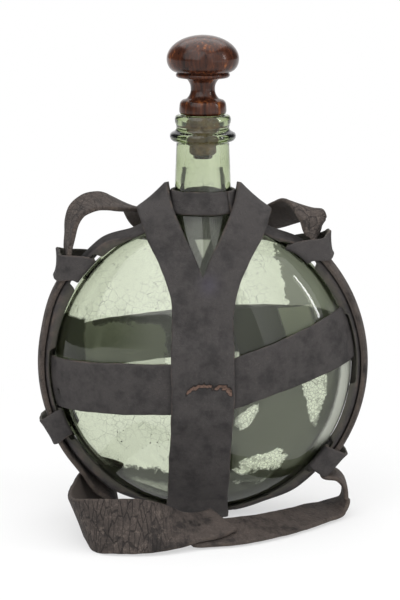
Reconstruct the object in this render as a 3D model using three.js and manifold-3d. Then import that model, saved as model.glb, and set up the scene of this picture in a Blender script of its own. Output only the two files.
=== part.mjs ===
// A lens-shaped glass canteen in a leather strap harness, with a turned wooden stopper.
// Millimetres, +Z up. The origin is the middle of the underside that the canteen stands on.
// X runs to the right of the front view, and -Y is the front.
import * as THREE from 'three';
import { mergeVertices } from 'three/addons/utils/BufferGeometryUtils.js';
import Module from 'manifold-3d';

const wasm = await Module();
wasm.setup();

// Clearances
const LAYER_GAP = 0.4;
const BASE_GAP = 0.8;
const KEEPER_GAP = 1.4;
const CORK_GAP = 0.3;

// Flask: a lens of glass with a flat base and a tapered neck
const FLASK_RADIUS = 79.5;
const FLASK_DEPTH = 78;
const FLASK_WALL = 3;
const BASE_CUT = 3.2;
const SHOULDER_BLEND = 18;
const NECK_ROOT_RADIUS = 15.4;
const NECK_TOP_RADIUS = 13.9;
const NECK_LENGTH = 40;
const LIP_HEIGHT = 14;
const LIP_RADIUS = 14.7;
const LIP_RING_RADIUS = 17.4;
const LIP_RING_HEIGHT = 5;
const LIP_ROUND = 1;
const BORE_RADIUS = 9.2;
const BORE_DEPTH = 16;

// Stopper: a mushroom knob turned with its peg, and a cork sleeve on the peg
const KNOB_RADIUS = 19;
const KNOB_HEIGHT = 19.5;
const KNOB_WIDEST_SHARE = 0.36;
const KNOB_DISC_RADIUS = 14.2;
const KNOB_DISC_HEIGHT = 2.7;
const WAIST_RADIUS = 6.4;
const WAIST_HEIGHT = 11.8;
const COLLAR_RADIUS = 12.4;
const COLLAR_HEIGHT = 7.4;
const TURNED_ROUND = 1;
const PEG_RADIUS = 5.2;
const PEG_END_DROP = 2;
const CORK_LENGTH = 21;
const CORK_TIP_TAPER = 1.6;
const CORK_CHAMFER = 1.2;

// Leather: thickness and width of each strap
const BODY_STRAP_THICKNESS = 2.4;
const BODY_STRAP_WIDTH = 32;
const CROSS_STRAP_THICKNESS = 2.4;
const CROSS_STRAP_WIDTH = 27;
const RIM_BAND_THICKNESS = 2.4;
const RIM_BAND_WIDTH = 19;
const NECK_BAND_THICKNESS = 2;
const NECK_BAND_HEIGHT = 13;
const NECK_BAND_RISE = 1.5;
const NECK_BAND_SAG = -0.5;
const SLING_THICKNESS = 2.6;
const SLING_WIDTH = 22;
const KEEPER_THICKNESS = 1.6;
const KEEPER_LENGTH = 15;

// Body strap: its turns are in degrees round the flask from the front, over the crest at the neck
const FULL_TURN = 360;
const CREST_TURN = 90;
const LAP_START_TURN = -150;
const LAP_END_TURN = 235;
const LAP_MARGIN_TURN = 4;
const SLIT_START_TURN = 40;
const SLIT_FLARE = 1.16;
const SLIT_HALF_WIDTH = 17;
const SHOULDER_HALF_WIDTH = 34;
const SHOULDER_RIDE = 17;
const SHOULDER_ARCH = 7;
const ARCH_TURN = 80;
const ARCH_SPAN_TURN = 22;
const SHOULDER_TURNS = [18, 32, 66];
const BASE_ZONE_TURN = 23;
const SHOULDER_ZONE_TURN = 28;
const RAMP_TURN = 9;
const CROSS_ZONE_MARGIN = 3;
const BODY_STRAP_DRIFT = 3;
const JOIN_OVERLAP = 0.2;

// Cross straps: height of the middle line above the base at the left end, the middle and the right end
const FRONT_CROSS_HEIGHTS = [75, 78, 101];
const BACK_CROSS_HEIGHTS = [86, 92, 96];
const CROSS_END_DEPTH = 6;
const CROSS_HOLE_DIAMETER = 2.6;
const CROSS_HOLE_INSET = 4.5;

// Rim band and keepers: angles in degrees down from the top of the flask
const RIM_BAND_END_TURN = 19;
const KEEPER_UPPER_LEFT_TURN = 52.6;
const KEEPER_UPPER_RIGHT_TURN = 46;
const KEEPER_LOWER_LEFT_TURN = 112.6;
const KEEPER_LOWER_RIGHT_TURN = 128;
const RIM_STAND_OFF_LEFT = 5;
const RIM_STAND_OFF_RIGHT = 3.7;

// Sling: where the side runs end, in degrees down from the top of the flask
const RUN_TOP_LEFT_TURN = 45;
const RUN_TOP_RIGHT_TURN = 37;
const RUN_FOOT_LEFT_TURN = 136;
const RUN_FOOT_RIGHT_TURN = 138;
const RUN_SPAN_COUNT = 4;

// Pivots that stand for the bend of each loop. Those of the carrying loop are shares of the flask's radius
const CARRY_PIVOT_SHARE = 0.9723;
const CARRY_LEFT_SHARE = -0.909;
const CARRY_RIGHT_SHARE = 0.7636;
const FOOT_PIVOT_Z = 15;
const FOOT_LEFT_GAP = 0.6;
const FOOT_RIGHT_GAP = 19.5;
const FOOT_REACH = 71.5;
const TONGUE_RADIUS = 6;
const FOOT_LEFT_TONGUE_RADIUS = 11;
const PIVOT_GAP = 0.3;
const PIVOT_RISE = 2.5;

// Splice: the square end, the rounded tip under it, and the two holes
const SPLICE_END_X = 11;
const SPLICE_TIP_X = -10;
const SPLICE_TIP_ROUND = 3;
const SPLICE_HOLE_X = -7;
const SPLICE_HOLE_DIAMETER = 2.6;
const SPLICE_HOLE_SPACING = 4;

// Worked out from the sizes above
const HALF_DEPTH = FLASK_DEPTH / 2;
const RIM_CURVE = HALF_DEPTH ** 2 / FLASK_RADIUS;
const UNDER_LAYER = RIM_BAND_THICKNESS + 2 * BASE_GAP;
const BASE_Z = UNDER_LAYER + BODY_STRAP_THICKNESS;
const LENS_Z = BASE_Z - BASE_CUT + FLASK_RADIUS;
const LENS_TOP_Z = LENS_Z + FLASK_RADIUS;
const LIP_FOOT_Z = LENS_TOP_Z + NECK_LENGTH;
const LIP_TOP_Z = LIP_FOOT_Z + LIP_HEIGHT;
const CROSS_LAYER = CROSS_STRAP_THICKNESS + 2 * LAYER_GAP;
const SHOULDER_LAYER = Math.max(RIM_BAND_THICKNESS, NECK_BAND_THICKNESS) + 2 * LAYER_GAP;
const LAP_LAYER = BODY_STRAP_THICKNESS + 2 * LAYER_GAP;
const SLING_LIFT = CROSS_LAYER + RIM_BAND_THICKNESS + LAYER_GAP + SLING_THICKNESS;
const CARRY_PIVOT_Z = LENS_Z + FLASK_RADIUS * CARRY_PIVOT_SHARE;
const CARRY_LEFT_X = FLASK_RADIUS * CARRY_LEFT_SHARE;
const CARRY_RIGHT_X = FLASK_RADIUS * CARRY_RIGHT_SHARE;
const FOOT_LEFT_X = -slingReach(FOOT_PIVOT_Z + FOOT_LEFT_TONGUE_RADIUS) - FOOT_LEFT_GAP;
const FOOT_RIGHT_X = slingReach(FOOT_PIVOT_Z) + FOOT_RIGHT_GAP;

const rad = THREE.MathUtils.degToRad;
const lerp = THREE.MathUtils.lerp;
const smooth = THREE.MathUtils.smoothstep;
const vec = (x, y, z) => new THREE.Vector3(x, y, z);

/** Value at `at` on a smooth line through [place, value] stops. */
function alongStops(stops, at) {
  const last = stops.length - 1;
  if (at <= stops[0][0]) return stops[0][1];
  if (at >= stops[last][0]) return stops[last][1];
  const next = stops.findIndex(([place]) => place > at);
  const [x0, y0] = stops[next - 1];
  const [x1, y1] = stops[next];
  return lerp(y0, y1, smooth(at, x0, x1));
}

/** How far to the side the sling's outer face stands at a height, where it lies round the rim. */
function slingReach(z) {
  return Math.sqrt((FLASK_RADIUS + SLING_LIFT) ** 2 - (z - LENS_Z) ** 2);
}

/** Evenly spaced numbers from `from` to `to`, with `count` steps between them. */
function spaced(from, to, count) {
  return Array.from({ length: count + 1 }, (_, i) => lerp(from, to, i / count));
}

// Flask surface

/** Signed distance, to first order, from the lens of the flask. */
function lensDistance(p) {
  const u = vec(p.x / FLASK_RADIUS, p.y / HALF_DEPTH, (p.z - LENS_Z) / FLASK_RADIUS);
  const size = u.length();
  const slope = Math.hypot(u.x / FLASK_RADIUS, u.y / HALF_DEPTH, u.z / FLASK_RADIUS) / size;
  return (size - 1) / slope;
}

/** Outer radius of the neck at height z. */
function neckRadius(z) {
  return lerp(NECK_ROOT_RADIUS, NECK_TOP_RADIUS, (z - LENS_TOP_Z) / NECK_LENGTH);
}

/** Signed distance from the flask: the lens and the neck run together in a rounded shoulder. */
function flaskDistance(p) {
  const lens = lensDistance(p);
  if (p.z < LENS_Z) return lens;
  const neck = Math.hypot(p.x, p.y) - neckRadius(p.z);
  const overlap = Math.max(SHOULDER_BLEND - Math.abs(lens - neck), 0) / SHOULDER_BLEND;
  return Math.min(lens, neck) - overlap ** 2 * SHOULDER_BLEND / 4;
}

/** Direction away from the flask at a point. */
function flaskNormal(p) {
  const step = 0.05;
  const slope = (axis) => {
    const ahead = p.clone();
    const behind = p.clone();
    ahead[axis] += step;
    behind[axis] -= step;
    return flaskDistance(ahead) - flaskDistance(behind);
  };
  return vec(slope('x'), slope('y'), slope('z')).normalize();
}

/** The point nearest a guide point that stands `lift` off the flask, or off its flat base. */
function onFlask(guide, lift) {
  const point = guide.clone();
  const tries = 14;
  for (let i = 0; i < tries; i += 1) {
    point.addScaledVector(flaskNormal(point), lift - flaskDistance(point));
  }
  point.z = Math.max(point.z, BASE_Z - lift);
  return point;
}

/** A guide point at an angle down from the top, `across` the rim towards the back, on a side of -1 or 1. */
function rimGuide(angle, across, lift, side) {
  const turn = across / (RIM_CURVE + lift);
  const slope = Math.atan(Math.tan(turn) * HALF_DEPTH / FLASK_RADIUS);
  const reach = (FLASK_RADIUS + lift) * Math.cos(slope);
  const y = (HALF_DEPTH + lift) * Math.sin(slope);
  return vec(side * reach * Math.sin(rad(angle)), y, LENS_Z + reach * Math.cos(rad(angle)));
}

// Solids

/** A closed solid between an inner and an outer grid of points, as rows of equal length. */
function gridSolid(inner, outer, closed = false) {
  const rows = inner.length;
  const cols = inner[0].length;
  const positions = [...inner.flat(), ...outer.flat()].flatMap((p) => [p.x, p.y, p.z]);
  const low = (i, j) => (i % rows) * cols + j;
  const high = (i, j) => rows * cols + low(i, j);
  const faces = [];
  const quad = (a, b, c, d) => faces.push(a, b, c, a, c, d);
  const spans = closed ? rows : rows - 1;
  const edge = cols - 1;
  for (let i = 0; i < spans; i += 1) {
    for (let j = 0; j < edge; j += 1) {
      quad(high(i, j), high(i + 1, j), high(i + 1, j + 1), high(i, j + 1));
      quad(low(i, j), low(i, j + 1), low(i + 1, j + 1), low(i + 1, j));
    }
    quad(low(i, 0), low(i + 1, 0), high(i + 1, 0), high(i, 0));
    quad(low(i, edge), high(i, edge), high(i + 1, edge), low(i + 1, edge));
  }
  if (!closed) {
    const end = rows - 1;
    for (let j = 0; j < edge; j += 1) {
      quad(low(0, j), high(0, j), high(0, j + 1), low(0, j + 1));
      quad(low(end, j), low(end, j + 1), high(end, j + 1), high(end, j));
    }
  }
  const geometry = new THREE.BufferGeometry();
  geometry.setAttribute('position', new THREE.Float32BufferAttribute(positions, 3));
  geometry.setIndex(faces);
  return geometry;
}

/** A strap whose inner face is the given grid, thickened to the side that faces away from it. */
function strapFrom(inner, thickness) {
  const outer = inner.map((row, i) => row.map((point, j) => {
    const before = inner[Math.max(i - 1, 0)];
    const after = inner[Math.min(i + 1, inner.length - 1)];
    const along = after[j].clone().sub(before[j]);
    const across = row[Math.min(j + 1, row.length - 1)].clone().sub(row[Math.max(j - 1, 0)]);
    return point.clone().addScaledVector(along.cross(across).normalize(), thickness);
  }));
  return gridSolid(inner, outer);
}

/** A geometry as a solid that can be joined and cut. */
function solidOf(geometry) {
  const bare = geometry.clone();
  bare.deleteAttribute('normal');
  bare.deleteAttribute('uv');
  const merged = mergeVertices(bare, 1e-4);
  return new wasm.Manifold(new wasm.Mesh({
    numProp: 3,
    vertProperties: new Float32Array(merged.attributes.position.array),
    triVerts: new Uint32Array(merged.index.array),
  }));
}

/** A joined or cut solid as a geometry. */
function geometryOf(solid) {
  const mesh = solid.getMesh();
  const geometry = new THREE.BufferGeometry();
  geometry.setAttribute('position', new THREE.Float32BufferAttribute(mesh.vertProperties, 3));
  geometry.setIndex(Array.from(mesh.triVerts));
  return geometry;
}

/** A strap with a round hole through it at each place. */
function punched(geometry, places, normal, diameter) {
  const drillLength = 8;
  const turn = new THREE.Quaternion().setFromUnitVectors(vec(0, 1, 0), normal);
  const solid = places.reduce((left, place) => {
    const drill = new THREE.CylinderGeometry(diameter / 2, diameter / 2, drillLength, 10);
    drill.applyQuaternion(turn).translate(place.x, place.y, place.z);
    return left.subtract(solidOf(drill));
  }, solidOf(geometry));
  return geometryOf(solid);
}

/** A turned piece from [radius, height] points, with its axis on Z. */
function turned(points, segments) {
  const profile = points.map(([radius, height]) => new THREE.Vector2(radius, height));
  return new THREE.LatheGeometry(profile, segments).rotateX(Math.PI / 2);
}

// Glass flask

/** One ring of the flask at height z, with each point `inset` inside its outer surface. */
function flaskRing(z, inset, count) {
  return Array.from({ length: count }, (_, i) => {
    const angle = i / count * 2 * Math.PI;
    const heading = vec(FLASK_RADIUS * Math.cos(angle), HALF_DEPTH * Math.sin(angle), 0);
    let near = 0;
    let far = 1.2;
    const halvings = 40;
    for (let k = 0; k < halvings; k += 1) {
      const middle = (near + far) / 2;
      const point = heading.clone().multiplyScalar(middle).setZ(z);
      if (flaskDistance(point) < -inset) near = middle;
      else far = middle;
    }
    return heading.multiplyScalar(far).setZ(z);
  });
}

/** A round ring on the neck axis. */
function roundRing(radius, z, count) {
  return Array.from({ length: count }, (_, i) => {
    const angle = i / count * 2 * Math.PI;
    return vec(radius * Math.cos(angle), radius * Math.sin(angle), z);
  });
}

/** The flask as one skin: up the outside, over the lip, and down the inside. */
function glassFlask() {
  const count = 48;
  const neckStart = rad(68);
  const outerAngles = spaced(Math.asin((BASE_Z - LENS_Z) / FLASK_RADIUS), neckStart, 20);
  const outerHeights = outerAngles.map((angle) => LENS_Z + FLASK_RADIUS * Math.sin(angle));
  const shoulderFoot = outerHeights.at(-1);
  const shoulderHeights = [0.1, 0.19, 0.28, 0.38, 0.53, 0.75].map(
    (share) => lerp(shoulderFoot, LIP_FOOT_Z, share));
  const outside = [...outerHeights, ...shoulderHeights].map((z) => flaskRing(z, 0, count));
  const groove = LIP_RADIUS - LIP_ROUND * 0.7;
  const lip = [
    [NECK_TOP_RADIUS, 0], [LIP_RING_RADIUS - LIP_ROUND, LIP_ROUND],
    [LIP_RING_RADIUS, lerp(LIP_ROUND, LIP_RING_HEIGHT, 0.5)], [LIP_RING_RADIUS - LIP_ROUND, LIP_RING_HEIGHT],
    [groove, LIP_HEIGHT * 0.46], [groove, LIP_HEIGHT * 0.61], [LIP_RADIUS, LIP_HEIGHT * 0.71],
    [LIP_RADIUS, LIP_HEIGHT - LIP_ROUND], [LIP_RADIUS - LIP_ROUND, LIP_HEIGHT],
    [BORE_RADIUS + LIP_ROUND, LIP_HEIGHT], [BORE_RADIUS, LIP_HEIGHT - LIP_ROUND],
    [BORE_RADIUS, LIP_HEIGHT - BORE_DEPTH],
  ].map(([radius, rise]) => roundRing(radius, LIP_FOOT_Z + rise, count));
  const neckWall = NECK_ROOT_RADIUS - BORE_RADIUS;
  const insideNeck = [0.7, 0.42, 0.18, 0].map((share) => {
    const wall = lerp(FLASK_WALL * 1.3, neckWall, share);
    return flaskRing(LENS_TOP_Z + NECK_LENGTH * share, wall, count);
  });
  const floorAngle = Math.asin((BASE_Z - LENS_Z + FLASK_WALL) / (FLASK_RADIUS - FLASK_WALL));
  const insideAngles = spaced(rad(72), floorAngle, 16);
  const inside = insideAngles.map((angle) => {
    const z = LENS_Z + (FLASK_RADIUS - FLASK_WALL) * Math.sin(angle);
    return flaskRing(z, FLASK_WALL, count);
  });
  return ringSkin([...outside, ...lip, ...insideNeck, ...inside]);
}

/** A closed skin through rings, capped flat at its first and last ring. */
function ringSkin(rings) {
  const count = rings[0].length;
  const points = rings.flat();
  const faces = [];
  for (let i = 0; i < rings.length - 1; i += 1) {
    for (let j = 0; j < count; j += 1) {
      const next = (j + 1) % count;
      const [a, b, c, d] = [i * count + j, i * count + next, (i + 1) * count + next, (i + 1) * count + j];
      faces.push(a, b, c, a, c, d);
    }
  }
  const addCap = (ring, turnedOver) => {
    const centre = points.push(vec(0, 0, rings[ring][0].z)) - 1;
    for (let j = 0; j < count; j += 1) {
      const rim = [ring * count + j, ring * count + (j + 1) % count];
      faces.push(centre, ...(turnedOver ? rim.reverse() : rim));
    }
  };
  addCap(0, true);
  addCap(rings.length - 1, false);
  const geometry = new THREE.BufferGeometry();
  geometry.setAttribute('position', new THREE.Float32BufferAttribute(points.flatMap((p) => p.toArray()), 3));
  geometry.setIndex(faces);
  return geometry;
}

// Stopper

const COLLAR_Z = LIP_TOP_Z + CORK_GAP;
const CORK_TOP_Z = COLLAR_Z - CORK_GAP;
const CORK_END_Z = CORK_TOP_Z - CORK_LENGTH;

/** Knob, waist, collar and peg, turned in one piece. */
function stopperKnob() {
  const pegEnd = CORK_END_Z - PEG_END_DROP;
  const collarTop = COLLAR_Z + COLLAR_HEIGHT;
  const discFoot = collarTop + WAIST_HEIGHT;
  const knobFoot = discFoot + KNOB_DISC_HEIGHT;
  const widest = knobFoot + KNOB_HEIGHT * KNOB_WIDEST_SHARE;
  const round = TURNED_ROUND;
  const cove = (radius, foot, top) => [0.12, 0.3, 0.5, 0.7, 0.88].map((share) => {
    const bow = Math.abs(2 * share - 1) ** 2.4;
    return [lerp(WAIST_RADIUS, radius, bow), lerp(foot, top, share)];
  });
  const under = [0, 30, 60].map((turn) => [
    lerp(KNOB_DISC_RADIUS - round, KNOB_RADIUS, Math.sin(rad(turn))),
    lerp(knobFoot, widest, 1 - Math.cos(rad(turn))),
  ]);
  const over = [0, 20, 40, 58, 72, 83].map((turn) => [
    KNOB_RADIUS * Math.cos(rad(turn)),
    widest + (knobFoot + KNOB_HEIGHT - widest) * Math.sin(rad(turn)),
  ]);
  return turned([
    [0, pegEnd], [PEG_RADIUS, pegEnd], [PEG_RADIUS, COLLAR_Z], [COLLAR_RADIUS - round, COLLAR_Z],
    [COLLAR_RADIUS, COLLAR_Z + round], [COLLAR_RADIUS - round / 2, collarTop - round],
    [COLLAR_RADIUS - 1.5 * round, collarTop], ...cove(COLLAR_RADIUS - 3 * round, collarTop, discFoot),
    [KNOB_DISC_RADIUS - round, discFoot], [KNOB_DISC_RADIUS, discFoot + round],
    [KNOB_DISC_RADIUS, knobFoot - round], ...under, ...over, [0, knobFoot + KNOB_HEIGHT],
  ], 32);
}

/** Cork sleeve round the peg, tapered to its lower end. */
function stopperCork() {
  const top = BORE_RADIUS - CORK_GAP;
  const tip = top - CORK_TIP_TAPER;
  const hole = PEG_RADIUS + CORK_GAP;
  return turned([
    [hole, CORK_END_Z], [tip - CORK_CHAMFER, CORK_END_Z], [tip, CORK_END_Z + CORK_CHAMFER],
    [top, CORK_TOP_Z - CORK_LENGTH / 3], [top, CORK_TOP_Z], [hole, CORK_TOP_Z], [hole, CORK_END_Z],
  ], 28);
}

// Harness

/** How far a layer is raised at a turn, from [from, to, height] zones with ramps at both ends. */
function raisedBy(zones, turn) {
  return Math.max(0, ...zones.map(([from, to, height]) => (
    height * smooth(turn, from - RAMP_TURN, from) * (1 - smooth(turn, to, to + RAMP_TURN)))));
}

/** Turn round the front-to-back loop, in degrees from the front, of a height on the lens. */
const turnAt = (z) => THREE.MathUtils.radToDeg(Math.asin((z - LENS_Z) / FLASK_RADIUS));

/** The zones where the body strap passes over another layer. */
function bodyStrapZones() {
  const half = CROSS_STRAP_WIDTH / 2 + CROSS_ZONE_MARGIN;
  const [, frontMiddle] = FRONT_CROSS_HEIGHTS;
  const [, backMiddle] = BACK_CROSS_HEIGHTS;
  const back = 2 * CREST_TURN;
  return [
    [-CREST_TURN - BASE_ZONE_TURN, -CREST_TURN + BASE_ZONE_TURN, UNDER_LAYER - LAYER_GAP],
    [turnAt(frontMiddle - half), turnAt(frontMiddle + half), CROSS_LAYER - LAYER_GAP],
    [CREST_TURN - SHOULDER_ZONE_TURN, CREST_TURN + SHOULDER_ZONE_TURN, SHOULDER_LAYER - LAYER_GAP],
    [back - turnAt(backMiddle + half), back - turnAt(backMiddle - half), CROSS_LAYER - LAYER_GAP],
    [FULL_TURN + LAP_START_TURN - LAP_MARGIN_TURN, FULL_TURN, LAP_LAYER - LAYER_GAP],
  ];
}

/** One side of the body strap, from the lap, under the base, up the front and down the back. */
function bodyStrapSide(side) {
  const zones = bodyStrapZones();
  const half = BODY_STRAP_WIDTH / 2;
  const slitSpan = CREST_TURN - SLIT_START_TURN;
  const [fullSpan, rideSpan, fadeSpan] = SHOULDER_TURNS;
  const steps = [
    ...spaced(LAP_START_TURN, -115, 5), ...spaced(-110, -70, 8), ...spaced(-65, 55, 20).slice(0, -1),
    ...spaced(55, 125, 14), ...spaced(130, LAP_END_TURN, 17),
  ];
  const inner = steps.map((turn) => {
    const lift = LAYER_GAP + raisedBy(zones, turn);
    const fromCrest = Math.abs(turn - CREST_TURN);
    const fromBase = Math.abs(turn + CREST_TURN);
    const open = Math.min(1, Math.max(0, 1 - fromCrest / slitSpan) * SLIT_FLARE);
    const drift = -BODY_STRAP_DRIFT * (1 - smooth(fromBase, BASE_ZONE_TURN, CREST_TURN));
    const inEdge = open > 0 ? SLIT_HALF_WIDTH * open : -JOIN_OVERLAP;
    const outEdge = alongStops([[fullSpan, SHOULDER_HALF_WIDTH], [fadeSpan, half]], fromCrest);
    const guide = (x, ride) => vec(
      side * x + drift,
      -HALF_DEPTH * Math.cos(rad(turn)),
      LENS_Z + FLASK_RADIUS * Math.sin(rad(turn)) + ride,
    );
    const ride = SHOULDER_RIDE * (1 - smooth(fromCrest, 0, rideSpan));
    const inPoint = onFlask(guide(inEdge, ride), lift);
    const arch = SHOULDER_ARCH * (1 - smooth(Math.abs(turn - ARCH_TURN), 0, ARCH_SPAN_TURN));
    const outPoint = onFlask(guide(outEdge, 0), lift + arch);
    const chord = inPoint.clone().lerp(outPoint, 0.5);
    const middle = flaskDistance(chord) < lift ? onFlask(chord, lift) : chord;
    const row = [inPoint, middle, outPoint];
    return side > 0 ? row.reverse() : row;
  });
  const geometry = strapFrom(inner, BODY_STRAP_THICKNESS);
  const positions = geometry.attributes.position;
  for (let i = 0; i < positions.count; i += 1) positions.setZ(i, Math.max(positions.getZ(i), 0));
  return solidOf(geometry);
}

/** The long strap over the front, base and back, with a slit that the neck comes through. */
function bodyStrap() {
  return geometryOf(bodyStrapSide(-1).add(bodyStrapSide(1)));
}

/** A strap across the front (side -1) or back (side 1), its ends tucked under the rim band. */
function crossStrap(side, [leftZ, middleZ, rightZ]) {
  const reach = FLASK_RADIUS * Math.sqrt(1 - (CROSS_END_DEPTH / HALF_DEPTH) ** 2);
  const bend = BODY_STRAP_WIDTH / 2;
  const heights = [[-reach, leftZ], [-bend, middleZ - 1], [0, middleZ], [bend, middleZ + 2], [reach, rightZ]];
  const lines = spaced(-CROSS_STRAP_WIDTH / 2, CROSS_STRAP_WIDTH / 2, 3);
  const rows = (lift) => spaced(-90, 90, 26).map((turn) => lines.map((offset) => {
    const share = Math.sin(rad(turn));
    const z = heightAlong(heights, share * reach) + offset;
    const limit = Math.sqrt(Math.max(reach ** 2 - (z - LENS_Z) ** 2, 0));
    const x = share * limit;
    const edge = (x ** 2 + (z - LENS_Z) ** 2) / FLASK_RADIUS ** 2;
    return onFlask(vec(x, side * HALF_DEPTH * Math.sqrt(1 - edge), z), lift);
  }));
  const order = (grid) => (side < 0 ? grid : grid.map((row) => row.reverse()));
  return gridSolid(order(rows(LAYER_GAP)), order(rows(LAYER_GAP + CROSS_STRAP_THICKNESS)));
}

/** Height of a line of straight runs through [x, z] stops. */
function heightAlong(stops, x) {
  const next = Math.max(1, stops.findIndex(([place]) => place >= x));
  const [x0, z0] = stops[next - 1];
  const [x1, z1] = stops[next];
  return lerp(z0, z1, (x - x0) / (x1 - x0));
}

/** The front cross strap, with a small hole near its left end. */
function crossStrapFront() {
  const strap = crossStrap(-1, FRONT_CROSS_HEIGHTS);
  const reach = FLASK_RADIUS * Math.sqrt(1 - (CROSS_END_DEPTH / HALF_DEPTH) ** 2);
  const [leftZ] = FRONT_CROSS_HEIGHTS;
  const guide = vec(-reach + CROSS_HOLE_INSET, -2 * CROSS_END_DEPTH, leftZ - CROSS_HOLE_INSET);
  const place = onFlask(guide, LAYER_GAP);
  return punched(strap, [place], flaskNormal(place), CROSS_HOLE_DIAMETER);
}

/** Height of the rim band off the glass at an angle down from the top. */
function rimLift(angle, side) {
  const standOff = side < 0 ? RIM_STAND_OFF_LEFT : RIM_STAND_OFF_RIGHT;
  return alongStops([
    [26, LAYER_GAP], [40, standOff], [62, standOff], [80, CROSS_LAYER + LAYER_GAP],
    [142, CROSS_LAYER], [158, BASE_GAP],
  ], angle);
}

/** The band round the rim, from one shoulder under the base to the other. */
function rimBand() {
  const lines = spaced(-RIM_BAND_WIDTH / 2, RIM_BAND_WIDTH / 2, 4);
  const baseStart = 150;
  const sideStations = spaced(RIM_BAND_END_TURN, baseStart, 20).slice(0, -1);
  const stations = [
    ...sideStations, ...spaced(baseStart, FULL_TURN - baseStart, 18),
    ...sideStations.map((station) => FULL_TURN - station).reverse(),
  ];
  const rows = (raise) => stations.map((station) => {
    const side = station < FULL_TURN / 2 ? -1 : 1;
    const angle = Math.min(station, FULL_TURN - station);
    const lift = rimLift(angle, side) + raise;
    return lines.map((across) => onFlask(rimGuide(angle, across, lift, side), lift)).reverse();
  });
  return gridSolid(rows(0), rows(RIM_BAND_THICKNESS));
}

/** A strip round the root of the neck, under the arms of the body strap. */
function neckBand() {
  const count = 40;
  const rows = (lift) => spaced(0, FULL_TURN, count).slice(0, -1).map((turn) => {
    const [across, away] = [Math.cos(rad(turn)), Math.sin(rad(turn))];
    const foot = LENS_TOP_Z + NECK_BAND_RISE - NECK_BAND_SAG * away ** 2;
    return spaced(foot, foot + NECK_BAND_HEIGHT, 2).map((z) => {
      const radius = neckRadius(z) + lift;
      return onFlask(vec(radius * across, radius * away, z), lift);
    });
  });
  return gridSolid(rows(LAYER_GAP), rows(LAYER_GAP + NECK_BAND_THICKNESS), true);
}

/** A leather loop round the rim band and the sling, centred at an angle down from the top. */
function keeper(angle, side) {
  const halfTurn = THREE.MathUtils.radToDeg(KEEPER_LENGTH / 2 / FLASK_RADIUS);
  const halfWidth = SLING_WIDTH / 2 + KEEPER_GAP;
  const stack = RIM_BAND_THICKNESS + LAYER_GAP + SLING_THICKNESS;
  const loop = (grow) => {
    const low = -LAYER_GAP - grow;
    const high = stack + KEEPER_GAP + grow;
    const wide = halfWidth + grow;
    const under = spaced(-wide, wide, 4).map((across) => [across, low]);
    const over = spaced(wide, -wide, 4).map((across) => [across, high]);
    return [...under, ...over];
  };
  const columns = spaced(angle - halfTurn, angle + halfTurn, 3);
  const rows = (grow) => loop(grow).map(([across, raise]) => {
    const row = columns.map((station) => {
      const lift = rimLift(station, side) + raise;
      return onFlask(rimGuide(station, across, lift, side), lift);
    });
    return side > 0 ? row : row.reverse();
  });
  return gridSolid(rows(0), rows(KEEPER_THICKNESS), true);
}

// Sling

/** A row of points across a strap, with `spans` steps between its edges. */
function slingRow(middle, lateral, halfWidth, spans = 2) {
  return spaced(-halfWidth, halfWidth, spans).map((reach) => middle.clone().addScaledVector(lateral, reach));
}

/** One row of a side run where it lies on the rim band, at an angle down from the top. */
function runRow(angle, side) {
  const lift = rimLift(angle, side) + RIM_BAND_THICKNESS + LAYER_GAP;
  const lines = spaced(-SLING_WIDTH / 2, SLING_WIDTH / 2, RUN_SPAN_COUNT);
  return lines.map((across) => onFlask(rimGuide(angle, across, lift, side), lift));
}

/** A side run of the sling: an upright end beside the carrying loop, then down the rim to its foot. */
function slingRun(side, pivotX, top, foot) {
  const endX = pivotX - side * (PIVOT_GAP / 2 + SLING_THICKNESS);
  const endZ = CARRY_PIVOT_Z - PIVOT_RISE / 2;
  const start = runRow(top, side)[RUN_SPAN_COUNT / 2];
  const free = [[1, 1], [0.97, 0.8], [0.8, 0.55], [0.4, 0.27]].map(([out, up]) => {
    const middle = vec(lerp(start.x, endX, out), 0, lerp(start.z, endZ, up));
    return slingRow(middle, vec(0, 1, 0), SLING_WIDTH / 2, RUN_SPAN_COUNT);
  });
  const rows = [...free, ...spaced(top, foot, 18).map((angle) => runRow(angle, side))];
  return strapFrom(side < 0 ? rows.map((row) => row.reverse()) : rows, SLING_THICKNESS);
}

/** Rows of a free strap through stations of a middle point, a direction across and a share of the width. */
function freeRows(stations, steps) {
  const middle = new THREE.CatmullRomCurve3(stations.map(([point]) => vec(...point)));
  const laterals = new THREE.CatmullRomCurve3(stations.map(([, lateral]) => vec(...lateral)));
  const widths = new THREE.CatmullRomCurve3(stations.map(([, , share = 1]) => vec(share, 0, 0)));
  return spaced(0, 1, steps).map((share) => {
    const along = middle.getTangent(share);
    const across = laterals.getPoint(share).normalize();
    across.addScaledVector(along, -across.dot(along)).normalize();
    return slingRow(middle.getPoint(share), across, SLING_WIDTH / 2 * widths.getPoint(share).x);
  });
}

/** Rows of a round tongue in the plane across X, from its tip to the strap that it heads. */
function tongueRows(x, pivotZ, radius, heading, lateral) {
  return [12, 45, 90].map((turn) => {
    const middle = vec(x, 0, pivotZ).addScaledVector(heading, -radius * Math.cos(rad(turn)));
    return slingRow(middle, lateral, radius * Math.sin(rad(turn)));
  });
}

/** A point at shares of the flask's radius to the right, half depth to the back and radius up. */
function atShares(right, back, up) {
  return [right * FLASK_RADIUS, back * HALF_DEPTH, LENS_Z + up * FLASK_RADIUS];
}

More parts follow.
